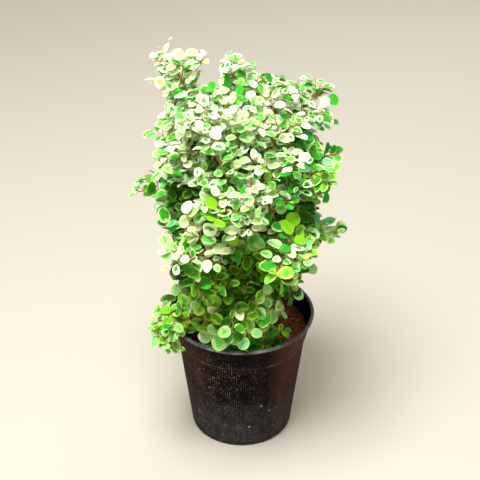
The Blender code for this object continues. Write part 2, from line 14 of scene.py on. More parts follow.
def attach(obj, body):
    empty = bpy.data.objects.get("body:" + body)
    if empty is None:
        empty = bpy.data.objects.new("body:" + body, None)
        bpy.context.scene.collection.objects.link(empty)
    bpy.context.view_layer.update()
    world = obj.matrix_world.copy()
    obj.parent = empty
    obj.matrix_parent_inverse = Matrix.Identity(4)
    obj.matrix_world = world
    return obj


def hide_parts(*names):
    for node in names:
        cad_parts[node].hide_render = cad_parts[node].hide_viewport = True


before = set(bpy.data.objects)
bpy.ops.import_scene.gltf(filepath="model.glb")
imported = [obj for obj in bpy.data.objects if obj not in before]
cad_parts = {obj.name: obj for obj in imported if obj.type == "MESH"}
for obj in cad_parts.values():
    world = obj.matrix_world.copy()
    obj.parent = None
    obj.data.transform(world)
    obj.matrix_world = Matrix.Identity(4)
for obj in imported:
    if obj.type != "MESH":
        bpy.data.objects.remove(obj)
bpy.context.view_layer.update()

TAU = 2 * math.pi
UP = np.array([0.0, 0.0, 1.0])
LIGHT_SIDE = np.array([0.0, -1.0, 0.0])
# A direction that no limb runs along, to measure a turn about a limb from
SIDEWAYS = np.array([0.31, 0.87, 0.39])
GAP = 0.0003
BODY = "root"

# Camera, above the plant and looking down at it as in the photograph
CAMERA_PLACE = (-0.002, -1.36334806, 1.13492586)
CAMERA_TARGET = (-0.002, 0.0, 0.2975)
CAMERA_LENS = 90.15
CAMERA_SENSOR = 36.0

# Pot
POT_HEIGHT = 0.185
RIM_RADIUS = 0.100
BASE_RADIUS = 0.0705
WALL = 0.0020
FLOOR = 0.0025
LIP_WIDTH = 0.0045
LIP_HEIGHT = 0.0035
COLLAR_DEPTH = 0.037
COLLAR_STEP = 0.0012
COLLAR_INSET = 0.0022
BODY_TOP_RADIUS = 0.0885
FOOT_ROUND = 0.0030
SLOT_COUNT = 3
SLOT_BEARING = -48.0
SLOT_WIDTH = 0.014
SLOT_HEIGHT = 0.005
SLOT_REACH = 0.016
SLOT_ROUND = 0.00225

# Soil
SOIL_LEVEL = 0.161
SOIL_EDGE_DROP = 0.003
SOIL_FLAT_RADIUS = 0.070

# Stems
STEM_FOOT_SPREAD = 0.024
STEM_FOOT_RADIUS = 0.0046
STEM_TIP_RADIUS = 0.0019
STEM_BEND_RISE = 0.55
STEM_BEND_DRIFT = 0.10
ROOT_FLARE = 1.7
FOOT_HEIGHT = 0.006
STEM_RINGS = 8
ZIGZAG = 0.0012
LIMB_SIDES = 6
SAMPLE_STEP = 0.002

# Boughs
PATH_POINTS = 32
BOUGH_RINGS = 5
BOUGH_BASE_RADIUS = 0.0020
BOUGH_TIP_RADIUS = 0.0015
BOUGH_SHARE = 0.30
BOUGH_LEAST_START = 0.002
BOUGH_MOST_START = 0.030
BOUGH_START_STEP = 0.0001
MEETING_LENGTH = 0.003

# The leader of each stem: name, bearing, reach of its tip from the pot's axis, height of its tip
LEADERS = (
    ("left", 171.0, 0.108, 0.566),
    ("back", 96.0, 0.080, 0.540),
    ("right", 20.0, 0.116, 0.516),
    ("front_right", 312.0, 0.078, 0.500),
    ("front_left", 240.0, 0.076, 0.526),
)
LEADER_LENGTH = 0.125
LEADER_WIDTH = 0.058
LEADER_LEAN = 0.45
LEADER_BEND_SHARE = 0.5

# Tiers of boughs: name, count, first bearing, offset of the tier's centre along X, reach of its tips,
# height of its tips, height where its boughs leave the stems, half width of its masses
TIERS = (
    ("skirt", 6, 30.0, -0.006, 0.108, 0.266, 0.205, 0.055),
    ("middle", 6, 0.0, 0.000, 0.146, 0.352, 0.255, 0.058),
    ("upper", 6, 30.0, -0.008, 0.134, 0.440, 0.335, 0.058),
)
TIER_TILT = -0.07
TIER_STAGGER = 0.012
TIP_JITTER = 0.006
START_JITTER = 0.008
ARCH_OUT = 0.45
ARCH_RISE_SHARE = 0.75
ARCH_RISE = 0.016
END_ROOM = 0.004

# Low shoots from the soil: name, foot x and y, bend x, y, z, tip x, y, z, half width
SHOOTS = (
    ("left", (-0.048, -0.030), (-0.066, -0.040, 0.250), (-0.119, -0.064, 0.172), 0.040),
    ("front", (-0.006, -0.040), (-0.006, -0.050, 0.240), (0.000, -0.100, 0.228), 0.052),
    ("right", (0.044, -0.020), (0.054, -0.034, 0.230), (0.080, -0.064, 0.220), 0.042),
)
SHOOT_RADIUS = 0.0022
SHOOT_SHARE = 0.40

# Clearances of twigs and leaves
SPACE_MARGIN = 0.00025
TWIG_MARGIN = 0.0006
LEAF_MARGIN = 0.0004
RIM_CLEARANCE = 0.0008
SOIL_CLEARANCE = 0.0008
INNER_CLEARANCE = 0.0010
OUTER_CLEARANCE = 0.0012

# Twigs. Each try for a twig is the share of its full reach and a further turn in degrees.
MASS_STEM_RADII = (0.0015, 0.0008)
SIDE_TWIG_RADII = (0.0009, 0.0005)
FINE_TWIG_RADII = (0.0006, 0.0004)
MASS_STEM_END_ROOM = 0.012
SIDE_TWIGS = {"top_left": 12, "top_right": 11, "top_back": 18, "low_left": 26, "other": 15}
FIRST_TWIG_SHARE = 0.05
LAST_TWIG_SHARE = 0.90
TWIG_TURN = 137.5
TURN_JITTER = 15.0
TWIG_SPLAY = 52.0
SPLAY_JITTER = 8.0
TWIG_RISE = 0.12
TWIG_ARCH = 0.10
TWIG_REACH_SHARES = (0.85, 1.35)
TWIG_TRIES = (
    (1.0, 0.0), (1.0, 40.0), (1.0, -40.0), (0.75, 0.0), (0.75, 60.0), (0.5, 0.0), (0.5, 80.0), (0.32, 0.0),
)
TWIG_CLEAR_FROM = 0.004
TWIG_TEST_POINTS = 10
TWIG_ZIGZAG = 0.0005
TWIG_SIDES = 5
FINE_TWIG_EVERY = 2
FINE_TWIG_LENGTHS = (0.018, 0.032)
FINE_TWIG_SPLAY = 48.0
FINE_TWIG_LIFTS = (-0.35, 0.45)
FINE_TWIG_TRIES = (1.0, 0.75, 0.55)
# The chance that a side twig strays, and how far past its space it may then go, or inside it where negative
STRAY_CHANCES = {"low_left": 0.40, "top_left": 0.24, "other": 0.20}
STRAY_SPARES = {"top_left": 0.014, "skirt_3": -0.030, "skirt_4": -0.036, "low_right": -0.014, "other": 0.0}
SPACE_OVERLAP = 0.014
SPACE_FULLNESS = 2.5

# The crown that the masses share: how far out it is at each height. No leaf is in the bay in its top, which
# starts at a slope that falls towards the back, and narrows upwards from its left side.
CROWN_HEIGHTS = (0.222, 0.252, 0.290, 0.330, 0.480, 0.515, 0.545)
CROWN_REACHES = (0.066, 0.086, 0.102, 0.112, 0.108, 0.077, 0.030)
CROWN_OFFSET = -0.004
BAY_SLOPE = 0.60
BAY_HEIGHTS = (0.524, 0.565)
BAY_LEFT = (-0.049, -0.036)
BAY_RIGHT = -0.029

# How far the closed part of each kind of mass, or of one mass by its name, stays inside its space
INSETS = {
    "top_left": 0.008, "top_back": 0.008, "top_right": 0.008,
    "upper": 0.006, "upper_1": 0.016, "upper_3": 0.020, "upper_4": 0.028, "upper_6": 0.016,
    "middle": 0.006, "middle_1": 0.022, "middle_4": 0.034, "middle_5": 0.016, "middle_6": 0.012,
    "skirt": 0.014, "skirt_1": 0.024, "skirt_3": 0.036, "skirt_4": 0.042, "skirt_6": 0.020,
    "low_left": 0.006, "low_front": 0.004, "low_right": 0.023,
}

# Spaces that lie to one side of their stems
SHIFTS = {
    "top_left": (0.018, 0.0, -0.001),
    "top_back": (-0.010, 0.0, -0.003),
    "top_right": (-0.006, 0.0, 0.0),
    "middle_1": (-0.016, 0.0, 0.012),
    "middle_4": (0.014, 0.0, 0.0),
    "upper_3": (0.008, 0.0, 0.0),
    "upper_4": (0.012, 0.0, 0.0),
    "low_right": (-0.014, -0.004, 0.0),
}

# Short twigs on the stems and boughs inside the crown
INNER_SPACING = 0.011
INNER_LENGTHS = (0.028, 0.058)
INNER_SPLAY = 62.0
INNER_FOOT = 0.232

# Sprigs from the soil: how many, first and last bearing, reaches of their feet from the axis, lengths, and
# how far they lean outwards. Those at the lip lean out over it.
SPRIGS = {
    "lip": (40, (205.0, 248.0), (0.062, 0.084), (0.034, 0.058), 0.85),
    "tuft": (24, (0.0, 360.0), (0.030, 0.070), (0.030, 0.052), 0.35),
    "sprig": (84, (0.0, 360.0), (0.018, 0.084), (0.018, 0.044), 0.35),
}
# Soil that stays bare on the right: x, y and radius
BARE_SOIL = (0.080, -0.010, 0.036)
SPRIG_LEAN = 0.55
SPRIG_RADII = (0.0009, 0.0005)

# Leaves
FIRST_LEAF = 0.007
FIRST_STEM_LEAF_SHARE = 0.35
LEAF_SPACING = 0.0054
LEAF_SPLAY = 58.0
END_LEAF_SPLAY = 10.0
LEAF_SPLAY_JITTER = 12.0
LEAF_TRIES = (1.0, 1.0, 0.85, 0.7)
WIDTH_SHARES = (0.82, 1.14)
ROOT_REACH = 0.003
FACING_HEIGHTS = (0.240, 0.440)
FACING_UP = (0.70, 1.00)
FACING_OUT = (0.48, 0.20)
FACING_LIGHT = (0.30, 0.20)
FACING_JITTER = 0.38
# How much of a leaf's rise or fall along its twig is left, at the same two heights
LEAF_STEEPNESS = (0.90, 0.55)
PETIOLE_LENGTHS = (0.0014, 0.0026)
PETIOLE_RADIUS = 0.00035
LEAF_POINTS = 12
OUTLINE_TEST_STEP = 2
MOST_LEAVES = 16000
MOST_TWIG_PARTS = 60000
SEED = 11
MASS_SEED = 1100
INNER_SEED = 2200
SPRIG_SEED = 3300

# Leaves by kind of mass: least and most length, and width as a share of length
LEAF_SIZES = {
    "leader": (0.0115, 0.0180, 0.72),
    "upper": (0.0120, 0.0190, 0.74),
    "middle": (0.0130, 0.0225, 0.77),
    "skirt": (0.0140, 0.0235, 0.82),
    "low_left": (0.0095, 0.0175, 0.88),
    "low_front": (0.0185, 0.0265, 0.92),
    "low_right": (0.0150, 0.0225, 0.88),
    "inner": (0.0125, 0.0190, 0.77),
    "sprig": (0.0070, 0.0125, 0.82),
    "tuft": (0.0170, 0.0255, 0.92),
    "lip": (0.0145, 0.0200, 0.92),
}

# Colours of leaf tissue as linear red, green, blue. The darker greens are also dealt to leaves in shade, as
# painted shade.
TINTS = {
    "snow": (0.79, 0.92, 0.65),
    "milk": (0.64, 0.88, 0.40),
    "frost": (0.38, 0.75, 0.22),
    "cream": (0.56, 0.73, 0.15),
    "mint": (0.14, 0.62, 0.09),
    "jade": (0.24, 0.66, 0.25),
    "pale": (0.24, 0.62, 0.04),
    "sage": (0.09, 0.44, 0.030),
    "blue": (0.09, 0.50, 0.25),
    "green": (0.034, 0.36, 0.015),
    # moss is painted shade lit yellow-green, as by light through the leaves above: an olive for leaves in
    # shade
    "moss": (0.110, 0.26, 0.009),
    "deep": (0.026, 0.11, 0.004),
    "lime": (0.19, 0.55, 0.012),
    "yellow": (0.25, 0.52, 0.020),
    "blush": (0.56, 0.44, 0.36),
    "petiole": (0.40, 0.22, 0.05),
}
TINT_NAMES = list(TINTS)

# A leaf's look: tints of its margin, rim, middle and core, then how far the last three reach as shares of
# its size
LOOKS = {
    "snow": ("snow", "snow", "milk", "frost", 0.90, 0.58, 0.22),
    "cloud": ("snow", "snow", "milk", "milk", 0.90, 0.66, 0.30),
    "creamy": ("snow", "milk", "cream", "pale", 0.88, 0.50, 0.24),
    "dusted": ("snow", "milk", "frost", "frost", 0.90, 0.70, 0.38),
    "splash": ("snow", "snow", "sage", "green", 0.88, 0.46, 0.30),
    "frost": ("milk", "frost", "frost", "mint", 0.90, 0.70, 0.36),
    "minted": ("milk", "mint", "mint", "sage", 0.90, 0.66, 0.36),
    "edged": ("milk", "frost", "green", "green", 0.92, 0.80, 0.44),
    "half": ("snow", "milk", "green", "deep", 0.84, 0.70, 0.44),
    "fringed": ("cream", "sage", "green", "green", 0.94, 0.80, 0.50),
    "green": ("sage", "green", "green", "green", 0.94, 0.80, 0.40),
    "dark": ("green", "deep", "deep", "deep", 0.92, 0.80, 0.40),
    "mossy": ("pale", "pale", "moss", "moss", 0.93, 0.78, 0.40),
    "shaded": ("moss", "moss", "deep", "deep", 0.93, 0.76, 0.40),
    "lime": ("yellow", "lime", "lime", "lime", 0.94, 0.80, 0.40),
    "round": ("cream", "pale", "pale", "sage", 0.94, 0.78, 0.40),
    "jade": ("cream", "frost", "jade", "jade", 0.94, 0.76, 0.46),
    "bluish": ("frost", "blue", "blue", "sage", 0.94, 0.78, 0.40),
    "blushed": ("milk", "blue", "jade", "blush", 0.92, 0.72, 0.34),
}
# Deals: the weight of each look among the leaves of a spray
WHITE_DEAL = {
    "snow": 3.2, "cloud": 2.2, "creamy": 1.5, "dusted": 2.6, "splash": 2.2, "frost": 2.0, "minted": 1.9,
    "edged": 1.2, "green": 0.7, "bluish": 0.4, "lime": 0.25,
}
MIXED_DEAL = {
    "snow": 1.2, "cloud": 0.8, "dusted": 0.8, "splash": 1.4, "frost": 1.2, "minted": 1.6, "half": 1.6,
    "edged": 1.6, "green": 2.0, "dark": 0.8, "lime": 0.35,
}
GREEN_DEAL = {
    "edged": 1.2, "half": 1.4, "fringed": 1.6, "green": 2.8, "bluish": 0.7, "minted": 1.0, "dark": 1.6,
    "lime": 0.35, "snow": 0.3,
}
LOW_DEAL = {
    "round": 2.2, "jade": 3.6, "minted": 2.4, "fringed": 1.0, "bluish": 1.2, "blushed": 1.4, "mossy": 0.9,
    "shaded": 0.8, "frost": 2.8, "dusted": 1.8,
}
SPILL_DEAL = {
    "round": 3.2, "dusted": 0.9, "frost": 0.9, "minted": 2.2, "fringed": 1.4, "lime": 0.8, "jade": 2.0,
    "mossy": 1.2, "green": 0.7,
}
SPRIG_DEAL = {"green": 3.0, "dark": 1.6, "lime": 0.8, "mossy": 1.0}
# The shady and inner deals darken leaves that lie in shade, under the crown and inside it: painted shade.
SHADY_DEAL = {
    "shaded": 4.0, "dark": 2.2, "mossy": 1.4, "fringed": 0.6, "round": 0.7, "frost": 0.7, "cloud": 0.3,
    "green": 0.3,
}
INNER_SHADE_DEAL = {"shaded": 3.6, "dark": 2.2, "mossy": 1.4, "green": 0.6}
# The share of a spray's leaves that have its common look
SPRAY_SHARE = 0.34


def unit(vector):
    return vector / np.linalg.norm(vector)


def place(reach, bearing, height, centre_x=0.0):
    angle = math.radians(bearing)
    return np.array([centre_x + reach * math.cos(angle), reach * math.sin(angle), height])


# Materials


class Surface:
    """A material round one Principled shader, with short calls that add nodes to it."""

    def __init__(self, name, colour, roughness):
        self.material = bpy.data.materials.new(name)
        self.material.use_nodes = True
        self.tree = self.material.node_tree
        self.shader = self.tree.nodes["Principled BSDF"]
        self.set("Base Color", colour)
        self.set("Roughness", roughness)
        self.object_place = self.add("TexCoord").outputs["Object"]

    def set(self, socket, value):
        self.feed(self.shader.inputs[socket], value)

    def feed(self, socket, value):
        if isinstance(value, bpy.types.NodeSocket):
            self.tree.links.new(value, socket)
        elif isinstance(value, tuple) and len(value) == 3 and socket.type == "RGBA":
            socket.default_value = (*value, 1.0)
        else:
            socket.default_value = value

    def add(self, kind, inputs=(), **settings):
        node = self.tree.nodes.new(f"ShaderNode{kind}")
        for key, value in settings.items():
            setattr(node, key, value)
        for key, value in dict(inputs).items():
            self.feed(node.inputs[key], value)
        return node

    def stretched(self, scale):
        """Places in the object, scaled along each axis."""
        mapping = self.add("Mapping", {"Vector": self.object_place, "Scale": scale})
        return mapping.outputs["Vector"]

    def noise(self, scale, detail=4.0, rough=0.55, where=None):
        inputs = {"Scale": scale, "Detail": detail, "Roughness": rough, "Vector": where or self.object_place}
        return self.add("TexNoise", inputs).outputs["Fac"]

    def cells(self, scale, where=None):
        inputs = {"Scale": scale, "Vector": where or self.object_place}
        return self.add("TexVoronoi", inputs).outputs["Distance"]

    def part(self, axis, where=None):
        return self.add("SeparateXYZ", {"Vector": where or self.object_place}).outputs[axis]

    def span(self, value, low, high, start=0.0, end=1.0):
        """The value carried from low..high to start..end, and held there beyond them."""
        inputs = {"Value": value, "From Min": low, "From Max": high, "To Min": start, "To Max": end}
        return self.add("MapRange", inputs).outputs["Result"]

    def calculate(self, operation, *values):
        return self.add("Math", enumerate(values), operation=operation).outputs[0]

    def times(self, first, second):
        return self.calculate("MULTIPLY", first, second)

    def plus(self, first, second):
        return self.calculate("ADD", first, second)

    def unsigned(self, value):
        return self.calculate("ABSOLUTE", value)

    def mix(self, share, first, second):
        node = self.add("Mix", data_type="RGBA")
        self.feed(node.inputs["Factor"], share)
        self.feed(node.inputs[6], first)
        self.feed(node.inputs[7], second)
        return node.outputs[2]

    def bump(self, height, strength, distance):
        node = self.add("Bump", {"Height": height, "Strength": strength, "Distance": distance})
        self.set("Normal", node.outputs["Normal"])


# Meshes


class Mesh:
    """Vertices and faces gathered from many shapes, made into one joined mesh at the end."""

    def __init__(self):
        self.vertices = []
        self.faces = []
        self.tints = []
        self.places = []
        self.count = 0

    def add(self, vertices, faces, tints=0, places=None):
        """Faces are an array of three or four corners each, and places are the vertices' pattern places."""
        self.vertices.append(np.asarray(vertices, float))
        self.faces.append(np.asarray(faces) + self.count)
        self.tints.append(np.broadcast_to(tints, len(faces)))
        if places is not None:
            self.places.append(places)
        self.count += len(vertices)

    def build(self, name, materials, replaced=()):
        mesh = bpy.data.meshes.new(name)
        corners = np.concatenate([faces.ravel() for faces in self.faces])
        sizes = np.concatenate([np.full(len(faces), faces.shape[1]) for faces in self.faces])
        mesh.vertices.add(self.count)
        mesh.vertices.foreach_set("co", np.concatenate(self.vertices).ravel())
        mesh.loops.add(len(corners))
        mesh.loops.foreach_set("vertex_index", corners)
        mesh.polygons.add(len(sizes))
        mesh.polygons.foreach_set("loop_start", np.cumsum(sizes) - sizes)
        mesh.polygons.foreach_set("material_index", np.concatenate(self.tints).astype(np.int32))
        mesh.polygons.foreach_set("use_smooth", np.full(len(sizes), True))
        if self.places:
            layer = mesh.uv_layers.new(name="pattern")
            layer.data.foreach_set("uv", np.concatenate(self.places)[corners].ravel())
        for material in materials:
            mesh.materials.append(material)
        mesh.update(calc_edges=True)
        obj = bpy.data.objects.new(name, mesh)
        bpy.context.scene.collection.objects.link(obj)
        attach(obj, BODY)
        if replaced:
            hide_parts(*replaced)
        return obj


def ring_faces(rings, sides):
    """Four-cornered faces that join closed rings of points, each to the next."""
    low = (np.arange(rings - 1)[:, None] * sides + np.arange(sides)).ravel()
    after = (np.arange(rings - 1)[:, None] * sides + (np.arange(sides) + 1) % sides).ravel()
    return np.stack([low, after, after + sides, low + sides], axis=1)


def turned(profile, segments):
    """Vertices and faces of a shape turned about Z from (radius, height) points."""
    angles = TAU * np.arange(segments) / segments
    profile = np.asarray(profile)
    x = profile[:, :1] * np.cos(angles)
    y = profile[:, :1] * np.sin(angles)
    z = np.broadcast_to(profile[:, 1:], x.shape)
    return np.stack([x, y, z], axis=-1).reshape(-1, 3), ring_faces(len(profile), segments)


# Limbs


def arch(start, bend, end, count):
    """Points of the curve that leaves start towards bend and reaches end from there."""
    t = np.linspace(0.0, 1.0, count)[:, None]
    return (1 - t) ** 2 * start + 2 * t * (1 - t) * bend + t**2 * end


def measured(points):
    """Distance along the points up to each of them."""
    steps = np.linalg.norm(np.diff(points, axis=0), axis=1)
    return np.concatenate([[0.0], np.cumsum(steps)])


def along(points, distances):
    """Points at the given distances along a line of points."""
    reached = measured(points)
    return np.stack([np.interp(distances, reached, points[:, axis]) for axis in range(3)], axis=-1)


def stretch(points, start, end, count):
    """The part of a line of points between two distances, with evenly spaced points."""
    return along(points, np.linspace(start, end, count))


def rings_along(points, sides):
    """At each point the directions out to a ring's corners, turned as little as can be along the line."""
    tangents = np.gradient(points, axis=0)
    side = np.cross(tangents[0], SIDEWAYS)
    angles = TAU * np.arange(sides) / sides
    rings = []
    for tangent in tangents:
        forward = unit(tangent)
        side = unit(side - forward * side.dot(forward))
        rings.append(np.cos(angles)[:, None] * side + np.sin(angles)[:, None] * np.cross(forward, side))
    return np.array(rings)


def tube(points, radii, sides):
    """Vertices and faces of an open tapering tube along points."""
    vertices = points[:, None, :] + radii[:, None, None] * rings_along(points, sides)
    return vertices.reshape(-1, 3), ring_faces(len(points), sides)


class Limb:
    """A stem or bough: its centre line, its radii, and points along it for keeping leaves clear of it."""

    def __init__(self, name, points, radii, stands=False):
        self.name = name
        if stands:
            points = np.insert(points, 1, points[0] + UP * FOOT_HEIGHT, axis=0)
            radii = np.insert(radii, 1, radii[0])
            radii[0] *= ROOT_FLARE
        self.points = points
        self.radii = radii
        length = measured(points)[-1]
        distances = np.arange(0.0, length + 0.5 * SAMPLE_STEP, SAMPLE_STEP)
        self.samples = along(points, distances)
        self.sample_radii = np.interp(distances, measured(points), radii)

    def at_height(self, height):
        return np.array([np.interp(height, self.points[:, 2], self.points[:, axis]) for axis in range(3)])


def make_stem(name, bearing, tip, rng):
    """A stem from its flat foot on the soil to the base of its leader, with a root flare and faint zigzag."""
    foot = place(STEM_FOOT_SPREAD, bearing, SOIL_LEVEL + GAP)
    bend = foot + (tip - foot) * [STEM_BEND_DRIFT, STEM_BEND_DRIFT, STEM_BEND_RISE]
    points = arch(foot, bend, tip, STEM_RINGS)
    for k in range(2, STEM_RINGS - 1):
        turn_angle = rng.uniform(0.0, TAU)
        points[k] += ZIGZAG * np.array([math.cos(turn_angle), math.sin(turn_angle), 0.0])
    reached = measured(points) / measured(points)[-1]
    radii = STEM_FOOT_RADIUS + (STEM_TIP_RADIUS - STEM_FOOT_RADIUS) * reached
    return Limb(name, points, radii, stands=True)


def clear_start(path, host, radius):
    """Distance along path where a flat end of this radius is just clear of the host stem."""
    for distance in np.arange(BOUGH_LEAST_START, BOUGH_MOST_START, BOUGH_START_STEP):
        points = along(path, np.array([distance, distance + MEETING_LENGTH]))
        ring = points[0] + radius * rings_along(points, LIMB_SIDES)[0]
        away = np.linalg.norm(ring[:, None, :] - host.samples[None, :, :], axis=2) - host.sample_radii
        if away.min() >= GAP:
            return distance
    raise ValueError(f"nothing of {host.name}'s branch is clear of it")


def in_crown(points):
    """Which points are in the crown that the masses share."""
    limits = np.interp(points[:, 2], CROWN_HEIGHTS, CROWN_REACHES, left=0.0, right=0.0)
    return np.hypot(points[:, 0] - CROWN_OFFSET, points[:, 1]) < limits


def in_bay(points):
    """Which points are in the open bay in the crown's top."""
    above = points[:, 2] + BAY_SLOPE * points[:, 1]
    right_of_left = points[:, 0] > np.interp(above, BAY_HEIGHTS, BAY_LEFT)
    return right_of_left & (points[:, 0] < BAY_RIGHT) & (above > BAY_HEIGHTS[0])


class Space:
    """The room of one mass: an egg round its own stem, cut by the planes halfway to the other masses.
    Between the eggs it has the crown that all masses share.
    """

    def __init__(self, base, tip, half_width):
        self.centre = (base + tip) / 2
        self.axis = unit(tip - base)
        self.half_length = np.linalg.norm(tip - base) / 2 + END_ROOM
        self.half_width = half_width
        self.planes = []

    def part_from(self, other):
        normal = unit(other.centre - self.centre)
        limit = normal.dot((other.centre + self.centre) / 2) - SPACE_MARGIN
        self.planes.append((normal, limit))

    def holds(self, points, spare):
        offset = points - self.centre
        lengthwise = offset @ self.axis
        across = np.linalg.norm(offset - lengthwise[:, None] * self.axis, axis=1)
        egg = np.abs(lengthwise / (self.half_length + spare)) ** SPACE_FULLNESS
        egg += (across / (self.half_width + spare)) ** SPACE_FULLNESS
        own = egg < 1.0
        for normal, limit in self.planes:
            own &= points @ normal < limit + SPACE_OVERLAP
        return bool(((own | in_crown(points)) & ~in_bay(points)).all())


class Inside:
    """The room between the masses: the shared crown, and the room over the soil below it. It has no spare."""

    def holds(self, points, spare):
        return bool(((in_crown(points) | (points[:, 2] < INNER_FOOT)) & ~in_bay(points)).all())


class Branch:
    """A bough and the mass at its tip, as one arching line that is split between them."""

    def __init__(self, name, kind, path, start, share, half_width, radii, stands=False):
        self.name = name
        self.kind = kind
        length = measured(path)[-1]
        split = start + share * (length - start)
        self.limb = None
        if share:
            points = stretch(path, start, split, BOUGH_RINGS)
            self.limb = Limb(f"bough_{name}", points, np.linspace(*radii, BOUGH_RINGS), stands)
            self.whole_bough = stretch(path, 0.0, split, PATH_POINTS)
        points = stretch(path, split, length - MASS_STEM_END_ROOM, PATH_POINTS)
        self.stem = Limb(f"leaves_{name}", points, np.linspace(*MASS_STEM_RADII, PATH_POINTS))
        self.space = Space(along(path, np.array([split]))[0], path[-1], half_width)


def leader_branches(stems, tips):
    """The mass that continues each stem from its tip to the top of the crown."""
    branches = []
    for (name, _, _, _), stem, tip in zip(LEADERS, stems, tips):
        forward = unit(stem.points[-1] - stem.points[-2])
        base = stem.points[-1]
        bend = base + LEADER_BEND_SHARE * np.linalg.norm(tip - base) * forward
        path = arch(base, bend, tip, PATH_POINTS)
        branches.append(Branch(f"top_{name}", "leader", path, 0.0, 0.0, LEADER_WIDTH, None))
    return branches


def tier_branches(stems, rng):
    """The boughs of each tier, which arch outwards from the nearest stem."""
    branches = []
    for name, count, first, centre_x, reach, height, start_height, half_width in TIERS:
        for k in range(count):
            tip = place(reach, first + 360.0 * k / count, height, centre_x)
            tip += [rng.uniform(-TIP_JITTER, TIP_JITTER) for _ in range(3)]
            tip[2] += TIER_TILT * tip[0] + (TIER_STAGGER if k % 2 else -TIER_STAGGER)
            host = min(stems, key=lambda stem: np.linalg.norm((stem.at_height(start_height) - tip)[:2]))
            foot = host.at_height(start_height + rng.uniform(-START_JITTER, START_JITTER))
            bend = foot + (tip - foot) * [ARCH_OUT, ARCH_OUT, ARCH_RISE_SHARE] + UP * ARCH_RISE
            path = arch(foot, bend, tip, PATH_POINTS)
            start = clear_start(path, host, BOUGH_BASE_RADIUS)
            radii = (BOUGH_BASE_RADIUS, BOUGH_TIP_RADIUS)
            branches.append(Branch(f"{name}_{k + 1}", name, path, start, BOUGH_SHARE, half_width, radii))
    return branches


def shoot_branches():
    """Short shoots straight from the soil, one of them over the pot's rim."""
    branches = []
    for name, foot, bend, tip, half_width in SHOOTS:
        foot = np.array([*foot, SOIL_LEVEL + GAP])
        path = arch(foot, np.array(bend), np.array(tip), PATH_POINTS)
        radii = (SHOOT_RADIUS, BOUGH_TIP_RADIUS)
        name = f"low_{name}"
        branches.append(Branch(name, name, path, 0.0, SHOOT_SHARE, half_width, radii, stands=True))
    return branches


def lay_out():
    """The stems, and the branches with their spaces parted from each other, as in the solids."""
    rng = random.Random(SEED)
    tips = [place(reach, bearing, height) for _, bearing, reach, height in LEADERS]
    stems = []
    for (name, bearing, reach, _), tip in zip(LEADERS, tips):
        end = place(LEADER_LEAN * reach, bearing, tip[2] - LEADER_LENGTH)
        stems.append(make_stem(f"stem_{name}", bearing, end, rng))
    branches = leader_branches(stems, tips) + tier_branches(stems, rng) + shoot_branches()
    for branch in branches:
        for other in branches:
            if other is not branch:
                branch.space.part_from(other.space)
    return stems, branches


# Leaves

LEAF_ANGLES = TAU * np.arange(LEAF_POINTS) / LEAF_POINTS
EGG_SHARE = 0.10
LEAF_U = 0.5 - 0.5 * np.cos(LEAF_ANGLES)
LEAF_V = 0.5 * np.sin(LEAF_ANGLES) * (1.0 + EGG_SHARE * np.cos(LEAF_ANGLES))
LEAF_FOLD = 0.20
FOLD_SHARES = (0.2, 2.2)
LEAF_DROOP = 0.10
DROOP_SHARES = (0.0, 2.2)
LEAF_RIPPLE = 0.022
RIPPLE_WAVES = (2, 3)
# A leaf's colour zones, from its margin in to its core, and how unevenly each runs round it
ZONE_RINGS = 4
ZONE_JITTER = 0.11
ZONE_SWAY = 0.28
SWAY_WAVES = (1, 2)
ZONE_SHIFT = 0.09
ZONE_STEP = 0.025
LEAST_ZONE = 0.08
MIDRIB_PULL = 0.28
PETIOLE_SIDES = 3
PETIOLE_OVERLAP = 0.04


def clear_of_pot(points):
    """True where the points are all above the rim, all inside it above the soil, or all outside the wall."""
    reach = np.hypot(points[:, 0], points[:, 1])
    above_rim = (points[:, 2] > POT_HEIGHT + RIM_CLEARANCE).all()
    above_soil = (points[:, 2] > SOIL_LEVEL + SOIL_CLEARANCE).all()
    inside = (reach < BODY_TOP_RADIUS - WALL - INNER_CLEARANCE).all()
    outside = (reach > RIM_RADIUS + OUTER_CLEARANCE).all()
    return above_rim or (inside and above_soil) or outside


def facing_of(point, rng):
    """The way a leaf faces: up where it is high, more outwards and to the light where it is low."""
    outward = unit(np.array([point[0], point[1] + 0.0001, 0.0]))
    parts = (FACING_UP, FACING_OUT, FACING_LIGHT)
    up, out, light = (np.interp(point[2], FACING_HEIGHTS, part) for part in parts)
    jitter = np.array([rng.gauss(0.0, FACING_JITTER) for _ in range(3)])
    return unit(up * UP + out * outward + light * LIGHT_SIDE + jitter)


def leaf_faces():
    """Faces of a leaf's margin, middle and core, and of its petiole, with the zone that each belongs to."""
    faces = []
    zones = []
    for zone in range(ZONE_RINGS - 1):
        for a, b, c, d in ring_faces(2, LEAF_POINTS) + zone * LEAF_POINTS:
            faces += [(a, b, c), (a, c, d)]
            zones += [zone, zone]
    core = (ZONE_RINGS - 1) * LEAF_POINTS
    middle = ZONE_RINGS * LEAF_POINTS
    for k in range(LEAF_POINTS):
        faces.append((core + k, core + (k + 1) % LEAF_POINTS, middle))
        zones.append(ZONE_RINGS - 1)
    for a, b, c, d in ring_faces(2, PETIOLE_SIDES) + middle + 1:
        faces += [(a, b, c), (a, c, d)]
        zones += [ZONE_RINGS, ZONE_RINGS]
    return np.array(faces)[:, ::-1], np.array(zones)


LEAF_FACES, LEAF_ZONES = leaf_faces()


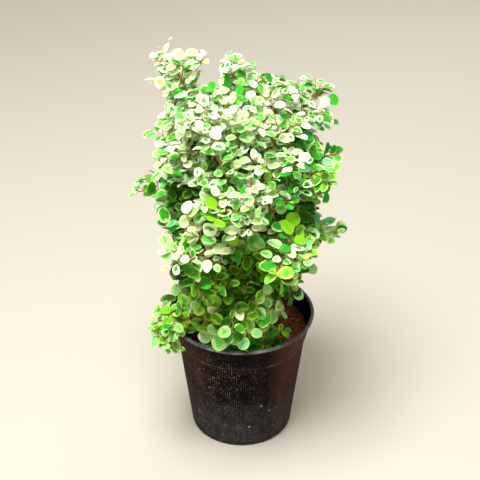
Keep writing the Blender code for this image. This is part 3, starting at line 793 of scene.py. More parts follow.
class Leaf:
    """A rounded leaf on a short petiole: its frame and outline, and the shape that it is drawn with."""

    def __init__(self, root, direction, facing, length, width_share, petiole):
        self.root = root
        direction = unit(direction)
        normal = unit(facing - direction * facing.dot(direction))
        self.frame = np.array([direction, np.cross(normal, direction), normal])
        self.length = length
        self.width_share = width_share
        self.halves = np.array([0.5, 0.5 * width_share]) * length
        self.base = root + petiole * direction
        self.centre = self.base + 0.5 * length * direction
        flat = np.stack([LEAF_U, width_share * LEAF_V, -LEAF_DROOP * LEAF_U**2], axis=1)[::OUTLINE_TEST_STEP]
        self.outline = self.base + length * flat @ self.frame

    def shape(self, rng, reaches):
        """Vertices of the leaf, and their places in its pattern. reaches are how far its zones go."""
        rings = [np.ones(LEAF_POINTS)]
        for reach in reaches:
            ring = np.full(LEAF_POINTS, reach)
            for waves in SWAY_WAVES:
                sway = reach * ZONE_SWAY * rng.gauss(0.0, 1.0)
                ring += sway * np.cos(waves * LEAF_ANGLES - rng.uniform(0.0, TAU))
            rings.append(ring + np.array([rng.gauss(0.0, ZONE_JITTER) for _ in range(LEAF_POINTS)]))
        for k in range(ZONE_RINGS - 1, 0, -1):
            rings[k] *= 1.0 + MIDRIB_PULL * (1.0 - rings[k].mean()) * np.cos(2 * LEAF_ANGLES)
            rings[k] = np.maximum(rings[k], LEAST_ZONE + ZONE_STEP * (ZONE_RINGS - 1 - k))
        for k in range(1, ZONE_RINGS):
            rings[k] = np.minimum(rings[k], rings[k - 1] - ZONE_STEP)
        scale = np.concatenate([*rings, [0.0]])
        shift_u, shift_v = rng.gauss(0.0, ZONE_SHIFT), rng.gauss(0.0, ZONE_SHIFT)
        u = 0.5 + scale * (np.append(np.tile(LEAF_U, ZONE_RINGS), 0.5) - 0.5) + (1.0 - scale) * shift_u
        v = scale * np.append(np.tile(LEAF_V, ZONE_RINGS), 0.0) + (1.0 - scale) * shift_v
        across = self.width_share * v
        ripple = sum(
            LEAF_RIPPLE * rng.gauss(0.0, 1.0) * np.sin(waves * LEAF_ANGLES + rng.uniform(0.0, TAU))
            for waves in RIPPLE_WAVES
        )
        ripple = np.concatenate([np.tile(ripple, ZONE_RINGS), [0.0]]) * scale**2
        fold = LEAF_FOLD * rng.uniform(*FOLD_SHARES)
        droop = LEAF_DROOP * rng.uniform(*DROOP_SHARES)
        lift = fold * np.abs(across) - droop * u**2 + ripple
        blade = self.base + self.length * np.stack([u, across, lift], axis=1) @ self.frame
        ends = np.array([self.root, self.base + PETIOLE_OVERLAP * self.length * self.frame[0]])
        stalk = ends[:, None, :] + PETIOLE_RADIUS * rings_along(ends, PETIOLE_SIDES)
        places = np.concatenate([np.stack([u, v + 0.5], axis=1), np.full((2 * PETIOLE_SIDES, 2), 0.5)])
        return np.concatenate([blade, stalk.reshape(-1, 3)]), places


class Stock:
    """The leaves and twigs so far, kept as arrays so that a new one is tested against all at once."""

    def __init__(self):
        points = len(LEAF_U[::OUTLINE_TEST_STEP])
        self.count = 0
        self.centres = np.zeros((MOST_LEAVES, 3))
        self.frames = np.zeros((MOST_LEAVES, 3, 3))
        self.halves = np.zeros((MOST_LEAVES, 2))
        self.outlines = np.zeros((MOST_LEAVES, points, 3))
        self.part_count = 0
        self.parts = np.zeros((MOST_TWIG_PARTS, 2, 3))

    def keep_leaf(self, leaf):
        k = self.count
        self.centres[k] = leaf.centre
        self.frames[k] = leaf.frame
        self.halves[k] = leaf.halves
        self.outlines[k] = leaf.outline
        self.count += 1

    def keep_twig(self, points):
        first = self.part_count
        self.part_count += len(points) - 1
        self.parts[first : self.part_count, 0] = points[:-1]
        self.parts[first : self.part_count, 1] = points[1:]

    def leaves_near(self, point, reach):
        away = np.linalg.norm(self.centres[: self.count] - point, axis=1)
        return np.nonzero(away < reach + self.halves[: self.count, 0])[0]

    def parts_near(self, leaf):
        parts = self.parts[: self.part_count]
        middle = parts.mean(axis=1)
        near = np.linalg.norm(middle - leaf.centre, axis=1) < leaf.length
        away = np.linalg.norm(middle - leaf.root, axis=1) > ROOT_REACH
        return parts[near & away]


def over_oval(places, halves, margin):
    """Which places, in a leaf's own frame, are over its oval."""
    return ((places[..., :2] / (halves[..., None, :] + margin)) ** 2).sum(-1) < 1.0


def crossed(first, last, halves):
    """True where a line from first to last, both in a leaf's own frame, passes through the leaf."""
    through = first[..., 2] * last[..., 2] < 0.0
    share = first[..., 2] / np.where(through, first[..., 2] - last[..., 2], 1.0)
    meeting = first + share[..., None] * (last - first)
    return bool((through & over_oval(meeting, halves, LEAF_MARGIN)).any())


def touched_by(leaf, points, margins):
    """True where a round point comes within the leaf."""
    places = (points - leaf.centre) @ leaf.frame.T
    over = ((places[:, :2] / (leaf.halves + margins[:, None])) ** 2).sum(-1) < 1.0
    return bool((over & (np.abs(places[:, 2]) < margins + LEAF_DROOP * leaf.length)).any())


# Growth


class Growth:
    """Twigs and leaves that grow on from limbs by the solids' rule, kept to a space. As flat outlines the
    leaves are clear of each other and of the twigs. Twigs may cross twigs.
    """

    def __init__(self, name, kind, space, limbs, stock, rng):
        self.name = name
        self.kind = kind
        self.space = space
        if name in SHIFTS:
            space.centre = space.centre + np.array(SHIFTS[name])
        self.stock = stock
        self.rng = rng
        self.twigs = []
        self.leaves = []
        self.inset = INSETS.get(name, INSETS.get(kind, 0.0))
        self.spare = -self.inset
        self.limb_points = np.concatenate([limb.samples for limb in limbs])
        self.limb_radii = np.concatenate([limb.sample_radii for limb in limbs])

    def near_limbs(self, point, reach):
        near = np.linalg.norm(self.limb_points - point, axis=1) < reach
        return self.limb_points[near], self.limb_radii[near]

    def fits(self, points):
        return self.space.holds(points, self.spare) and clear_of_pot(points)

    def twig_fits(self, points, radius):
        """True where a twig keeps to the space, and clear of limbs and of the leaves so far."""
        if not self.fits(points):
            return False
        middle, length = points.mean(axis=0), measured(points)[-1]
        limb_points, limb_radii = self.near_limbs(middle, length)
        away = np.linalg.norm(points[:, None, :] - limb_points[None, :, :], axis=2)
        if (away < limb_radii + radius + TWIG_MARGIN).any():
            return False
        stock = self.stock
        near = stock.leaves_near(middle, length)
        places = np.einsum("nij,npj->npi", stock.frames[near], points[None] - stock.centres[near][:, None])
        return not crossed(places[:, :-1], places[:, 1:], stock.halves[near])

    def keep_twig(self, points, radii):
        self.twigs.append((points, np.linspace(*radii, len(points))))
        self.stock.keep_twig(points)

    def begin_spray(self, point):
        """Deals the look of the leaves of one spray."""
        self.spray = deal_spray(point, self.kind, self.rng)

    def grow_mass(self, path):
        """Leaves on a mass's own stem, and side twigs turned about it with finer twigs and leaves on them."""
        length = measured(path)[-1]
        self.keep_twig(path, MASS_STEM_RADII)
        self.begin_spray(path[-1])
        end = self.grow_stem_leaves(path, FIRST_STEM_LEAF_SHARE * length, length)
        self.twigs[-1] = (stretch(path, 0.0, end, len(path)), self.twigs[-1][1])
        turn_angle = self.rng.uniform(0.0, 360.0)
        count = SIDE_TWIGS.get(self.name, SIDE_TWIGS["other"])
        stray_chance = STRAY_CHANCES.get(self.name, STRAY_CHANCES["other"])
        stray_spare = STRAY_SPARES.get(self.name, STRAY_SPARES["other"])
        for share in np.linspace(FIRST_TWIG_SHARE, LAST_TWIG_SHARE, count):
            turn_angle += TWIG_TURN + self.rng.uniform(-TURN_JITTER, TURN_JITTER)
            self.spare = -self.inset
            if self.rng.random() < stray_chance:
                self.spare = stray_spare * (1.0 - share) if stray_spare > 0.0 else stray_spare
            reach = self.space.half_width * self.rng.uniform(*TWIG_REACH_SHARES)
            self.grow_side_twig(path, share * length, turn_angle, reach, TWIG_SPLAY)

    def grow_inner(self, limb):
        """Short twigs all the way along a stem or bough inside the crown."""
        turn_angle = self.rng.uniform(0.0, 360.0)
        for distance in np.arange(0.5 * INNER_SPACING, measured(limb.points)[-1], INNER_SPACING):
            turn_angle += TWIG_TURN + self.rng.uniform(-TURN_JITTER, TURN_JITTER)
            if along(limb.points, np.array([distance]))[0, 2] > INNER_FOOT:
                reach = self.rng.uniform(*INNER_LENGTHS)
                self.grow_side_twig(limb.points, distance, turn_angle, reach, INNER_SPLAY)

    def grow_sprigs(self):
        """Sprigs that stand in the soil, each where it first fits."""
        count, bearings, reaches, lengths, outward_lean = SPRIGS[self.kind]
        for k in range(count):
            bearing = bearings[0] + (bearings[1] - bearings[0]) * (k + self.rng.random()) / count
            foot = place(self.rng.uniform(*reaches), bearing, SOIL_LEVEL - SOIL_EDGE_DROP)
            if math.dist(foot[:2], BARE_SOIL[:2]) < BARE_SOIL[2]:
                continue
            outward = unit(foot * [1.0, 1.0, 0.0])
            length = self.rng.uniform(*lengths)
            for share in FINE_TWIG_TRIES:
                lean = SPRIG_LEAN * np.array([self.rng.gauss(0.0, 1.0), self.rng.gauss(0.0, 1.0), 0.0])
                direction = unit(UP + outward_lean * outward + lean)
                if self.grow_twig(foot, direction, share * length, SPRIG_RADII, True):
                    break

    def grow_side_twig(self, path, distance, turn_angle, reach, splay):
        """One side twig, turned on and cut shorter until it fits."""
        start, ahead = along(path, np.array([distance, distance + SAMPLE_STEP]))
        forward = unit(ahead - start)
        side = unit(np.cross(forward, SIDEWAYS))
        splay = math.radians(splay + self.rng.uniform(-SPLAY_JITTER, SPLAY_JITTER))
        for share, more in TWIG_TRIES:
            angle = math.radians(turn_angle + more)
            outward = math.cos(angle) * side + math.sin(angle) * np.cross(forward, side)
            direction = unit(math.cos(splay) * forward + math.sin(splay) * outward + TWIG_RISE * UP)
            if self.grow_twig(start, direction, reach * share, SIDE_TWIG_RADII, True):
                return

    def grow_twig(self, start, direction, length, radii, branches):
        """A zigzag twig with leaves at its joints, and finer twigs too where it branches. True where it
        fits.
        """
        end = start + length * direction
        bend = start + 0.5 * length * direction + TWIG_ARCH * length * UP
        curve = arch(start, bend, end, TWIG_TEST_POINTS)
        if not self.twig_fits(stretch(curve, TWIG_CLEAR_FROM, length, TWIG_TEST_POINTS), radii[0]):
            return False
        facing = facing_of(end, self.rng)
        across = unit(np.cross(facing, direction))
        joints = np.arange(FIRST_LEAF, length, LEAF_SPACING)
        points = along(curve, np.concatenate([[0.0], joints, [measured(curve)[-1]]]))
        side = self.rng.choice((-1, 1))
        for k in range(1, len(points) - 1):
            points[k] += side * (-1) ** k * TWIG_ZIGZAG * across
        if branches:
            self.begin_spray(end)
        grown = self.add_joint_leaves(points, side)
        if not grown:
            return False
        self.keep_twig(points[: grown + 1], radii)
        if branches:
            for k in range(1, grown, FINE_TWIG_EVERY):
                self.grow_fine_twig(points, k, across * side * (-1) ** k)
        return True

    def grow_fine_twig(self, points, joint, outward):
        """A finer twig from a joint of a side twig, to the side that its leaf stands on."""
        forward = unit(points[joint + 1] - points[joint])
        splay = math.radians(FINE_TWIG_SPLAY + self.rng.uniform(-SPLAY_JITTER, SPLAY_JITTER))
        lift = self.rng.uniform(*FINE_TWIG_LIFTS) * UP
        direction = unit(math.cos(splay) * forward + math.sin(splay) * outward + lift)
        length = self.rng.uniform(*FINE_TWIG_LENGTHS)
        for share in FINE_TWIG_TRIES:
            if self.grow_twig(points[joint], direction, share * length, FINE_TWIG_RADII, False):
                return

    def add_joint_leaves(self, points, side):
        """A leaf at each joint, on alternate sides, and one that ends the twig. Returns the last joint."""
        last = 0
        for k in range(1, len(points)):
            ends = k == len(points) - 1
            forward = unit(points[k] - points[k - 1])
            splay = END_LEAF_SPLAY if ends else LEAF_SPLAY
            if self.add_leaf(points[k], forward, side * (-1) ** k, splay):
                last = k
        return last

    def grow_stem_leaves(self, path, first, length):
        """Leaves in two ranks along the mass's own stem, with one that ends it. Returns how far they go."""
        side = self.rng.choice((-1, 1))
        last = first
        for distance in np.arange(first, length - 0.4 * LEAF_SPACING, LEAF_SPACING):
            point, behind = along(path, np.array([distance, distance - SAMPLE_STEP]))
            if self.add_leaf(point, unit(point - behind), side, LEAF_SPLAY):
                last = distance
            side = -side
        if self.add_leaf(path[-1], unit(path[-1] - path[-2]), side, END_LEAF_SPLAY):
            last = length
        return last

    def add_leaf(self, point, forward, side, splay):
        """A leaf on a twig, turned or made smaller until it fits. Returns False where none does."""
        least, most, width_share = LEAF_SIZES[self.kind]
        petiole = self.rng.uniform(*PETIOLE_LENGTHS)
        for shrink in LEAF_TRIES:
            facing = facing_of(point, self.rng)
            across = unit(np.cross(facing, forward))
            angle = math.radians(splay + self.rng.uniform(-LEAF_SPLAY_JITTER, LEAF_SPLAY_JITTER))
            direction = math.cos(angle) * forward + side * math.sin(angle) * across
            direction[2] *= np.interp(point[2], FACING_HEIGHTS, LEAF_STEEPNESS)
            length = shrink * self.rng.uniform(least, most)
            width = width_share * self.rng.uniform(*WIDTH_SHARES)
            leaf = Leaf(point, direction, facing, length, width, petiole)
            if self.leaf_fits(leaf):
                self.stock.keep_leaf(leaf)
                self.leaves.append((leaf, self.spray))
                return True
        return False

    def leaf_fits(self, leaf):
        if not self.fits(leaf.outline):
            return False
        limb_points, limb_radii = self.near_limbs(leaf.centre, leaf.length)
        if touched_by(leaf, limb_points, limb_radii + LEAF_MARGIN):
            return False
        stock = self.stock
        near = stock.leaves_near(leaf.centre, 0.5 * leaf.length)
        if len(near):
            others = (stock.outlines[near] - leaf.centre) @ leaf.frame.T
            offset = leaf.outline[None] - stock.centres[near][:, None]
            mine = np.einsum("nij,npj->npi", stock.frames[near], offset)
            for places, halves in ((others, leaf.halves[None]), (mine, stock.halves[near])):
                if crossed(places, np.roll(places, 1, axis=1), halves):
                    return False
                flat = np.abs(places[..., 2]) < LEAF_MARGIN
                if (flat & over_oval(places, halves, LEAF_MARGIN)).any():
                    return False
        parts = (stock.parts_near(leaf) - leaf.centre) @ leaf.frame.T
        return not crossed(parts[:, 0][None], parts[:, 1][None], leaf.halves[None])


# Looks of leaves

# How likely a spray is to be white: more with height and in the open, less to the right. This is partly the
# plant's own variegation and partly painted light: the height is the shaded height below, so whites follow
# where the light falls.
WHITE_BASE = 0.58
WHITE_RISE = 3.2
WHITE_RISE_LIMITS = (-0.50, 0.28)
WHITE_OPEN = 1.2
WHITE_OPEN_MOST = 0.1
WHITE_LOSS_RIGHT = 6.8
WHITE_RIGHT_FROM = 0.02
WHITE_JITTER = 0.19
WHITE_HEIGHT = 0.326
CROWN_CENTRE = np.array([0.0, 0.0, 0.370])
CROWN_HALVES = np.array([0.145, 0.140, 0.200])
OPEN_SHARE = 0.80
# Sprays nearer the crown's middle than this share are dealt the inner looks, darker as painted shade
SHADED_SHARE = 0.60
# Below this height leaves are in the shade of the masses above them, and are dealt darker looks as painted
# shade. At the front it rises with distance out.
SHADY_HEIGHT = 0.262
SHADE_RISE_FRONT = 0.60
# Low sprays nearer the axis than this are dealt the inner looks too, as painted shade
LOW_SHADED_REACH = 0.050
DEALS = ((0.52, WHITE_DEAL), (0.32, MIXED_DEAL), (0.05, GREEN_DEAL), (-9.0, LOW_DEAL))


def deal_spray(point, kind, rng):
    """The deal that a spray's leaves are drawn from, by its place, and the look that most of them have.
    Sprays in shade get darker deals: painted shade.
    """
    out_share = float(np.linalg.norm((point - CROWN_CENTRE) / CROWN_HALVES))
    height = point[2] - SHADE_RISE_FRONT * max(-point[1], 0.0)
    if kind in ("low_left", "lip"):
        deal = SPILL_DEAL
    elif kind == "sprig":
        deal = SPRIG_DEAL
    elif kind in ("low_front", "tuft") and math.hypot(point[0], point[1]) < LOW_SHADED_REACH:
        deal = INNER_SHADE_DEAL
    elif kind.startswith("low") or kind == "tuft":
        deal = LOW_DEAL
    elif out_share < SHADED_SHARE:
        deal = INNER_SHADE_DEAL
    elif height < SHADY_HEIGHT:
        deal = SHADY_DEAL
    else:
        white = WHITE_BASE + float(np.clip(WHITE_RISE * (height - WHITE_HEIGHT), *WHITE_RISE_LIMITS))
        white += WHITE_OPEN * min(out_share - OPEN_SHARE, WHITE_OPEN_MOST)
        white -= WHITE_LOSS_RIGHT * max(point[0] - WHITE_RIGHT_FROM, 0.0)
        white += rng.gauss(0.0, WHITE_JITTER)
        deal = next(deal for least, deal in DEALS if white > least)
    return deal, draw_look(deal, rng)


def draw_look(deal, rng):
    return rng.choices(list(deal), weights=list(deal.values()))[0]


def leaf_material(name, colour):
    """Thin satin tissue with a midrib, side veins and fine pores. The pattern's places are the leaf's own."""
    surface = Surface(f"leaf_{name}", colour, 0.5)
    pattern = surface.add("UVMap", uv_map="pattern").outputs["UV"]
    length = surface.part("X", pattern)
    across = surface.unsigned(surface.plus(surface.part("Y", pattern), -0.5))
    slanted = surface.plus(length, surface.times(across, -0.9))
    ribs = surface.calculate("SINE", surface.times(slanted, 44.0))
    veins = surface.span(ribs, 0.55, 1.0)
    midrib = surface.span(across, 0.0, 0.06, 1.0, 0.0)
    pores = surface.noise(900.0, 2.0)
    height = surface.plus(surface.plus(surface.times(veins, 0.35), midrib), surface.times(pores, 0.4))
    surface.bump(height, 0.8, 0.0007)
    surface.set("Roughness", surface.span(surface.noise(160.0, 3.0), 0.3, 0.7, 0.48, 0.68))
    surface.set("Specular IOR Level", 0.16)
    return surface.material


def add_leaves(name, growths, materials):
    """The leaves of a tier's masses, as one joined mesh that replaces those masses."""
    mesh = Mesh()
    for growth in growths:
        rng = random.Random(f"{growth.name} leaves")
        for leaf, (deal, common) in growth.leaves:
            look = common if rng.random() < SPRAY_SHARE else draw_look(deal, rng)
            tints, reaches = LOOKS[look][:ZONE_RINGS], LOOKS[look][ZONE_RINGS:]
            vertices, places = leaf.shape(rng, reaches)
            zone_tints = np.array([TINT_NAMES.index(tint) for tint in (*tints, "petiole")])
            mesh.add(vertices, LEAF_FACES, zone_tints[LEAF_ZONES], places)
    replaced = [f"leaves_{growth.name}" for growth in growths if f"leaves_{growth.name}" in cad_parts]
    mesh.build(f"foliage_{name}", materials, replaced)


def add_twigs(name, growths, material):
    """The twigs of a tier's masses, as one joined mesh."""
    mesh = Mesh()
    for growth in growths:
        for points, radii in growth.twigs:
            mesh.add(*tube(points, radii, TWIG_SIDES))
    mesh.build(f"twigs_{name}", [material])


# Bark

BARK_RING_STEP = 0.0015
BARK_SIDES = 16
BARK_LEAST_RINGS = 4
BARK_RIDGE = 0.10
RIDGE_WAVES = (3, 5, 7)
RIDGE_TWIST = 0.8
RIDGE_TWIST_LENGTH = 0.011
BARK_LUMP = 0.08
LUMP_COUNT = 3
LUMP_LENGTHS = (0.003, 0.007)
BOUGH_FLARE = 0.35
FLARE_LENGTH = 0.004
JOINT_SPACING = 0.017
JOINT_SWELL = 0.20
JOINT_LENGTH = 0.0016


def bark_tube(points, radii, rng, flare=0.0):
    """A limb with ridged bark and swollen joints. flare widens its start into its host."""
    length = measured(points)[-1]
    count = max(int(length / BARK_RING_STEP), BARK_LEAST_RINGS)
    distances = np.linspace(0.0, length, count)
    centre = along(points, distances)
    centre[1:-1] = (centre[:-2] + 2 * centre[1:-1] + centre[2:]) / 4
    radius = np.interp(distances, measured(points), radii)
    radius *= 1.0 + flare * np.exp(-distances / FLARE_LENGTH)
    for joint in np.arange(rng.uniform(0.3, 1.0) * JOINT_SPACING, length, JOINT_SPACING):
        radius *= 1.0 + JOINT_SWELL * np.exp(-(((distances - joint) / JOINT_LENGTH) ** 2))
    angles = TAU * np.arange(BARK_SIDES) / BARK_SIDES
    relief = np.zeros((count, BARK_SIDES))
    for waves in RIDGE_WAVES:
        phase = rng.uniform(0.0, TAU)
        phase = phase + RIDGE_TWIST * np.sin(distances / RIDGE_TWIST_LENGTH + rng.uniform(0.0, TAU))
        relief += BARK_RIDGE / waves * np.cos(waves * angles + phase[:, None])
    for _ in range(LUMP_COUNT):
        step = rng.uniform(*LUMP_LENGTHS)
        turn = rng.choice((1, 2))
        lumps = np.cos(turn * angles + distances[:, None] / step + rng.uniform(0.0, TAU))
        relief += BARK_LUMP / LUMP_COUNT * lumps
    reach = radius[:, None] * (1 + relief)
    vertices = centre[:, None, :] + reach[..., None] * rings_along(centre, BARK_SIDES)
    return vertices.reshape(-1, 3), ring_faces(count, BARK_SIDES)


def bark_material():
    """Thin red-brown bark, darker in its furrows, with pale pores."""
    surface = Surface("red_brown_bark", (0.14, 0.055, 0.028), 0.75)
    grain = surface.noise(90.0, 6.0, 0.65, surface.stretched((1.0, 1.0, 0.25)))
    patches = surface.noise(45.0, 3.0)
    pores = surface.span(surface.cells(700.0), 0.16, 0.24, 1.0, 0.0)
    colour = surface.mix(surface.span(grain, 0.35, 0.65), (0.06, 0.022, 0.012), (0.22, 0.085, 0.038))
    colour = surface.mix(surface.span(patches, 0.50, 0.72, 0.0, 0.6), colour, (0.20, 0.13, 0.06))
    colour = surface.mix(surface.times(pores, 0.5), colour, (0.42, 0.32, 0.22))
    surface.set("Base Color", colour)
    surface.set("Roughness", surface.span(grain, 0.3, 0.7, 0.62, 0.88))
    surface.bump(surface.plus(grain, surface.times(pores, 0.3)), 0.6, 0.0006)
    return surface.material


def twig_material():
    """Thin young twigs, red-brown and a little glossy."""
    surface = Surface("young_twig", (0.36, 0.18, 0.045), 0.55)
    grain = surface.noise(500.0, 4.0)
    surface.set("Roughness", surface.span(grain, 0.3, 0.7, 0.42, 0.66))
    surface.bump(grain, 0.4, 0.0003)
    return surface.material


def add_limbs(stems, branches, bark):
    """The stems, each its own piece, and the boughs of each tier as one piece. Boughs start inside their
    stem.
    """
    for stem in stems:
        mesh = Mesh()
        rng = random.Random(f"{stem.name} bark")
        mesh.add(*bark_tube(stem.points, stem.radii, rng))
        mesh.build(f"bark_{stem.name}", [bark], [stem.name])
    for tier in ("skirt", "middle", "upper", "low"):
        mesh = Mesh()
        boughs = [branch for branch in branches if branch.limb and branch.name.startswith(tier)]
        for branch in boughs:
            rng = random.Random(f"{branch.name} bark")
            points = branch.whole_bough
            reached = measured(points)
            radii = np.interp(reached, reached[[0, -1]], branch.limb.radii[[-BOUGH_RINGS, -1]])
            mesh.add(*bark_tube(points, radii, rng, BOUGH_FLARE))
        mesh.build(f"bark_boughs_{tier}", [bark], [branch.limb.name for branch in boughs])


# Pot

POT_SEGMENTS = 192
LIP_ROUND = 0.0012
EDGE_EASE = 0.0002
EDGE_DROP = 0.0003
UNDER_LIP_EASE = 0.0004
ARC_STEPS = 6
FOOT_STEPS = 6
BODY_STEPS = 24
COLLAR_STEPS = 8
INNER_STEPS = 12
SHARP_ANGLE = 40.0
WELD_REACH = 0.00001
STREAK_COLUMNS = 170.0
STREAK_SWAY = 14.0
PLASTIC_DARK = (0.0008, 0.0004, 0.0002)
PLASTIC_LIGHT = (0.0045, 0.0011, 0.0005)
SMUDGE_COLOUR = (0.040, 0.025, 0.019)
# A painted reflection of warm ground, brown at the pot's sides
WARM_SIDE_REFLECTION = (0.118, 0.044, 0.024)
GREY_DUST = (0.044, 0.044, 0.049)
STEP_DUST = (0.34, 0.14, 0.05)
STREAK_COLOUR = (0.27, 0.25, 0.25)
SPECK_COLOUR = (0.24, 0.21, 0.20)
BLOT_COLOUR = (0.40, 0.36, 0.32)


def body_radius(height):
    """Outer radius of the pot's tapered body, below its collar."""
    step_height = POT_HEIGHT - COLLAR_DEPTH
    return BASE_RADIUS + (BODY_TOP_RADIUS - BASE_RADIUS) * height / step_height


def arc(centre, radius, first, last):
    """(radius, height) points round a corner, from one angle in degrees to another."""
    angles = np.radians(np.linspace(first, last, ARC_STEPS))
    return [(centre[0] + radius * math.cos(a), centre[1] + radius * math.sin(a)) for a in angles]


def line(start, end, count):
    """(radius, height) points from start up to but not including end."""
    return [tuple(p) for p in np.linspace(start, end, count, endpoint=False)]


def pot_profile():
    """From the middle of the underside, up the outside, over the rolled lip and down the inside."""
    step = POT_HEIGHT - COLLAR_DEPTH
    under_lip = POT_HEIGHT - LIP_HEIGHT
    collar_foot = BODY_TOP_RADIUS + COLLAR_STEP
    collar_top = RIM_RADIUS - COLLAR_INSET
    inner_lip = RIM_RADIUS - LIP_WIDTH
    foot_turn = BASE_RADIUS - FOOT_ROUND
    profile = line((0.0, 0.0), (foot_turn, 0.0), FOOT_STEPS)
    profile += arc((foot_turn, FOOT_ROUND), FOOT_ROUND, -90.0, -6.0)
    above_foot = FOOT_ROUND * 1.5
    profile += line((body_radius(above_foot), above_foot), (BODY_TOP_RADIUS, step), BODY_STEPS)
    profile += [(BODY_TOP_RADIUS, step - EDGE_DROP), (BODY_TOP_RADIUS + EDGE_EASE, step)]
    profile += [(collar_foot - EDGE_EASE, step + COLLAR_STEP - EDGE_DROP)]
    profile += line((collar_foot, step + COLLAR_STEP), (collar_top, under_lip), COLLAR_STEPS)
    profile += [(collar_top, under_lip - EDGE_EASE), (collar_top + UNDER_LIP_EASE, under_lip)]
    profile += arc((RIM_RADIUS - LIP_ROUND, under_lip + LIP_ROUND), LIP_ROUND, -80.0, 0.0)
    profile += arc((RIM_RADIUS - LIP_ROUND, POT_HEIGHT - LIP_ROUND), LIP_ROUND, 5.0, 90.0)
    profile += arc((inner_lip + LIP_ROUND, POT_HEIGHT - LIP_ROUND), LIP_ROUND, 90.0, 180.0)
    profile += line((collar_top - WALL, under_lip), (collar_foot - WALL, step + COLLAR_STEP), COLLAR_STEPS)
    profile += line((BODY_TOP_RADIUS - WALL, step), (body_radius(FLOOR) - WALL, FLOOR), INNER_STEPS)
    profile += [(body_radius(FLOOR) - WALL, FLOOR), (0.0, FLOOR)]
    return profile


def slot_cutter(k):
    """A rounded block across the foot of the wall, to cut one drain slot."""
    angle = math.radians(SLOT_BEARING + 360.0 * k / SLOT_COUNT)
    bpy.ops.mesh.primitive_cube_add(size=1.0)
    cutter = bpy.context.object
    cutter.scale = (SLOT_REACH, SLOT_WIDTH, 2 * SLOT_HEIGHT)
    bpy.ops.object.transform_apply(location=False, rotation=False, scale=True)
    bevel = cutter.modifiers.new("round", "BEVEL")
    bevel.width = SLOT_ROUND
    bevel.segments = 4
    cutter.location = (BASE_RADIUS * math.cos(angle), BASE_RADIUS * math.sin(angle), 0.0)
    cutter.rotation_euler = (0.0, 0.0, angle)
    return cutter


def add_pot_dust_and_reflection(surface, colour, clouds, smudges):
    """Smudges all over, a painted reflection of warm ground in brown towards the sides, and grey dust low
    down.
    """
    height = surface.part("Z")
    side = surface.part("X")
    smudged = surface.times(surface.span(smudges, 0.46, 0.68), surface.span(height, 0.02, 0.13, 1.0, 0.40))
    colour = surface.mix(surface.times(smudged, 0.60), colour, SMUDGE_COLOUR)
    outer = surface.part("X", surface.add("TexCoord").outputs["Normal"])
    # Painted reflection: brown at the sides seen from the front, where the wall turns away.
    side_reflection = surface.span(surface.unsigned(side), 0.034, 0.086)
    for share in (
        surface.span(clouds, 0.25, 0.60, 0.45, 1.0),
        surface.span(height, 0.02, 0.11, 0.5, 1.0),
        surface.span(side, -0.03, 0.03, 0.42, 1.0),
        surface.span(surface.unsigned(surface.part("Y")), 0.022, 0.060, 0.08, 1.0),
        surface.span(surface.times(outer, side), 0.0, 0.01),
    ):
        side_reflection = surface.times(side_reflection, share)
    colour = surface.mix(surface.times(side_reflection, 0.90), colour, WARM_SIDE_REFLECTION)
    low = surface.span(height, 0.035, 0.095, 1.0, 0.0)
    low = surface.times(low, surface.span(smudges, 0.34, 0.62, 0.30, 1.0))
    colour = surface.mix(surface.times(low, 0.75), colour, GREY_DUST)
    uneven = surface.plus(clouds, surface.times(smudged, 0.3))
    surface.set("Roughness", surface.span(uneven, 0.3, 0.9, 0.50, 0.78))
    return colour


def add_pot_marks(surface, colour):
    """Dotted streaks and specks, most of them left of the middle, and a few blots. Returns the specks too."""
    side = surface.part("X")
    patch = surface.span(surface.unsigned(surface.plus(side, 0.030)), 0.016, 0.060, 1.0, 0.22)
    patch = surface.times(patch, surface.span(surface.part("Z"), 0.150, 0.172, 1.0, 0.3))
    bearing = surface.calculate("ARCTAN2", surface.part("Y"), side)
    sway = surface.times(surface.noise(9.0, 2.0), STREAK_SWAY)
    columns = surface.calculate("SINE", surface.plus(surface.times(bearing, STREAK_COLUMNS), sway))
    dashes = surface.noise(330.0, 2.0, 0.5, surface.stretched((1.0, 1.0, 1.5)))
    rows = surface.times(surface.span(columns, 0.25, 0.90), surface.span(dashes, 0.49, 0.60))
    patchy = surface.span(surface.noise(46.0, 4.0, 0.6), 0.40, 0.58)
    streaks = surface.times(surface.times(rows, patchy), patch)
    colour = surface.mix(surface.times(streaks, 0.52), colour, STREAK_COLOUR)
    dots = surface.span(surface.cells(230.0, surface.stretched((1.0, 1.0, 0.8))), 0.10, 0.26, 1.0, 0.0)
    some = surface.span(surface.noise(70.0, 3.0), 0.50, 0.60)
    specks = surface.times(surface.times(dots, some), surface.span(patch, 0.0, 1.0, 0.25, 1.0))
    colour = surface.mix(surface.times(specks, 0.70), colour, SPECK_COLOUR)
    blots = surface.span(surface.cells(60.0), 0.06, 0.13, 1.0, 0.0)
    few = surface.span(surface.noise(17.0, 2.0), 0.52, 0.60)
    return surface.mix(surface.times(surface.times(blots, few), 0.7), colour, BLOT_COLOUR), specks


def add_step_dust(surface, colour, fine):
    """Earth caught on the step under the collar, in a broken line."""
    near_step = surface.plus(surface.part("Z"), COLLAR_DEPTH - POT_HEIGHT - 0.5 * COLLAR_STEP)
    near_step = surface.unsigned(near_step)
    dust = surface.times(surface.span(near_step, 0.0005, 0.0022, 1.0, 0.0), surface.span(fine, 0.40, 0.58))
    broken = surface.span(surface.noise(30.0, 3.0), 0.42, 0.58, 0.05, 1.0)
    edge = surface.unsigned(surface.part("X"))
    broken = surface.times(broken, surface.span(edge, 0.008, 0.030, 0.15, 1.0))
    return surface.mix(surface.times(surface.times(dust, broken), 0.75), colour, STEP_DUST)


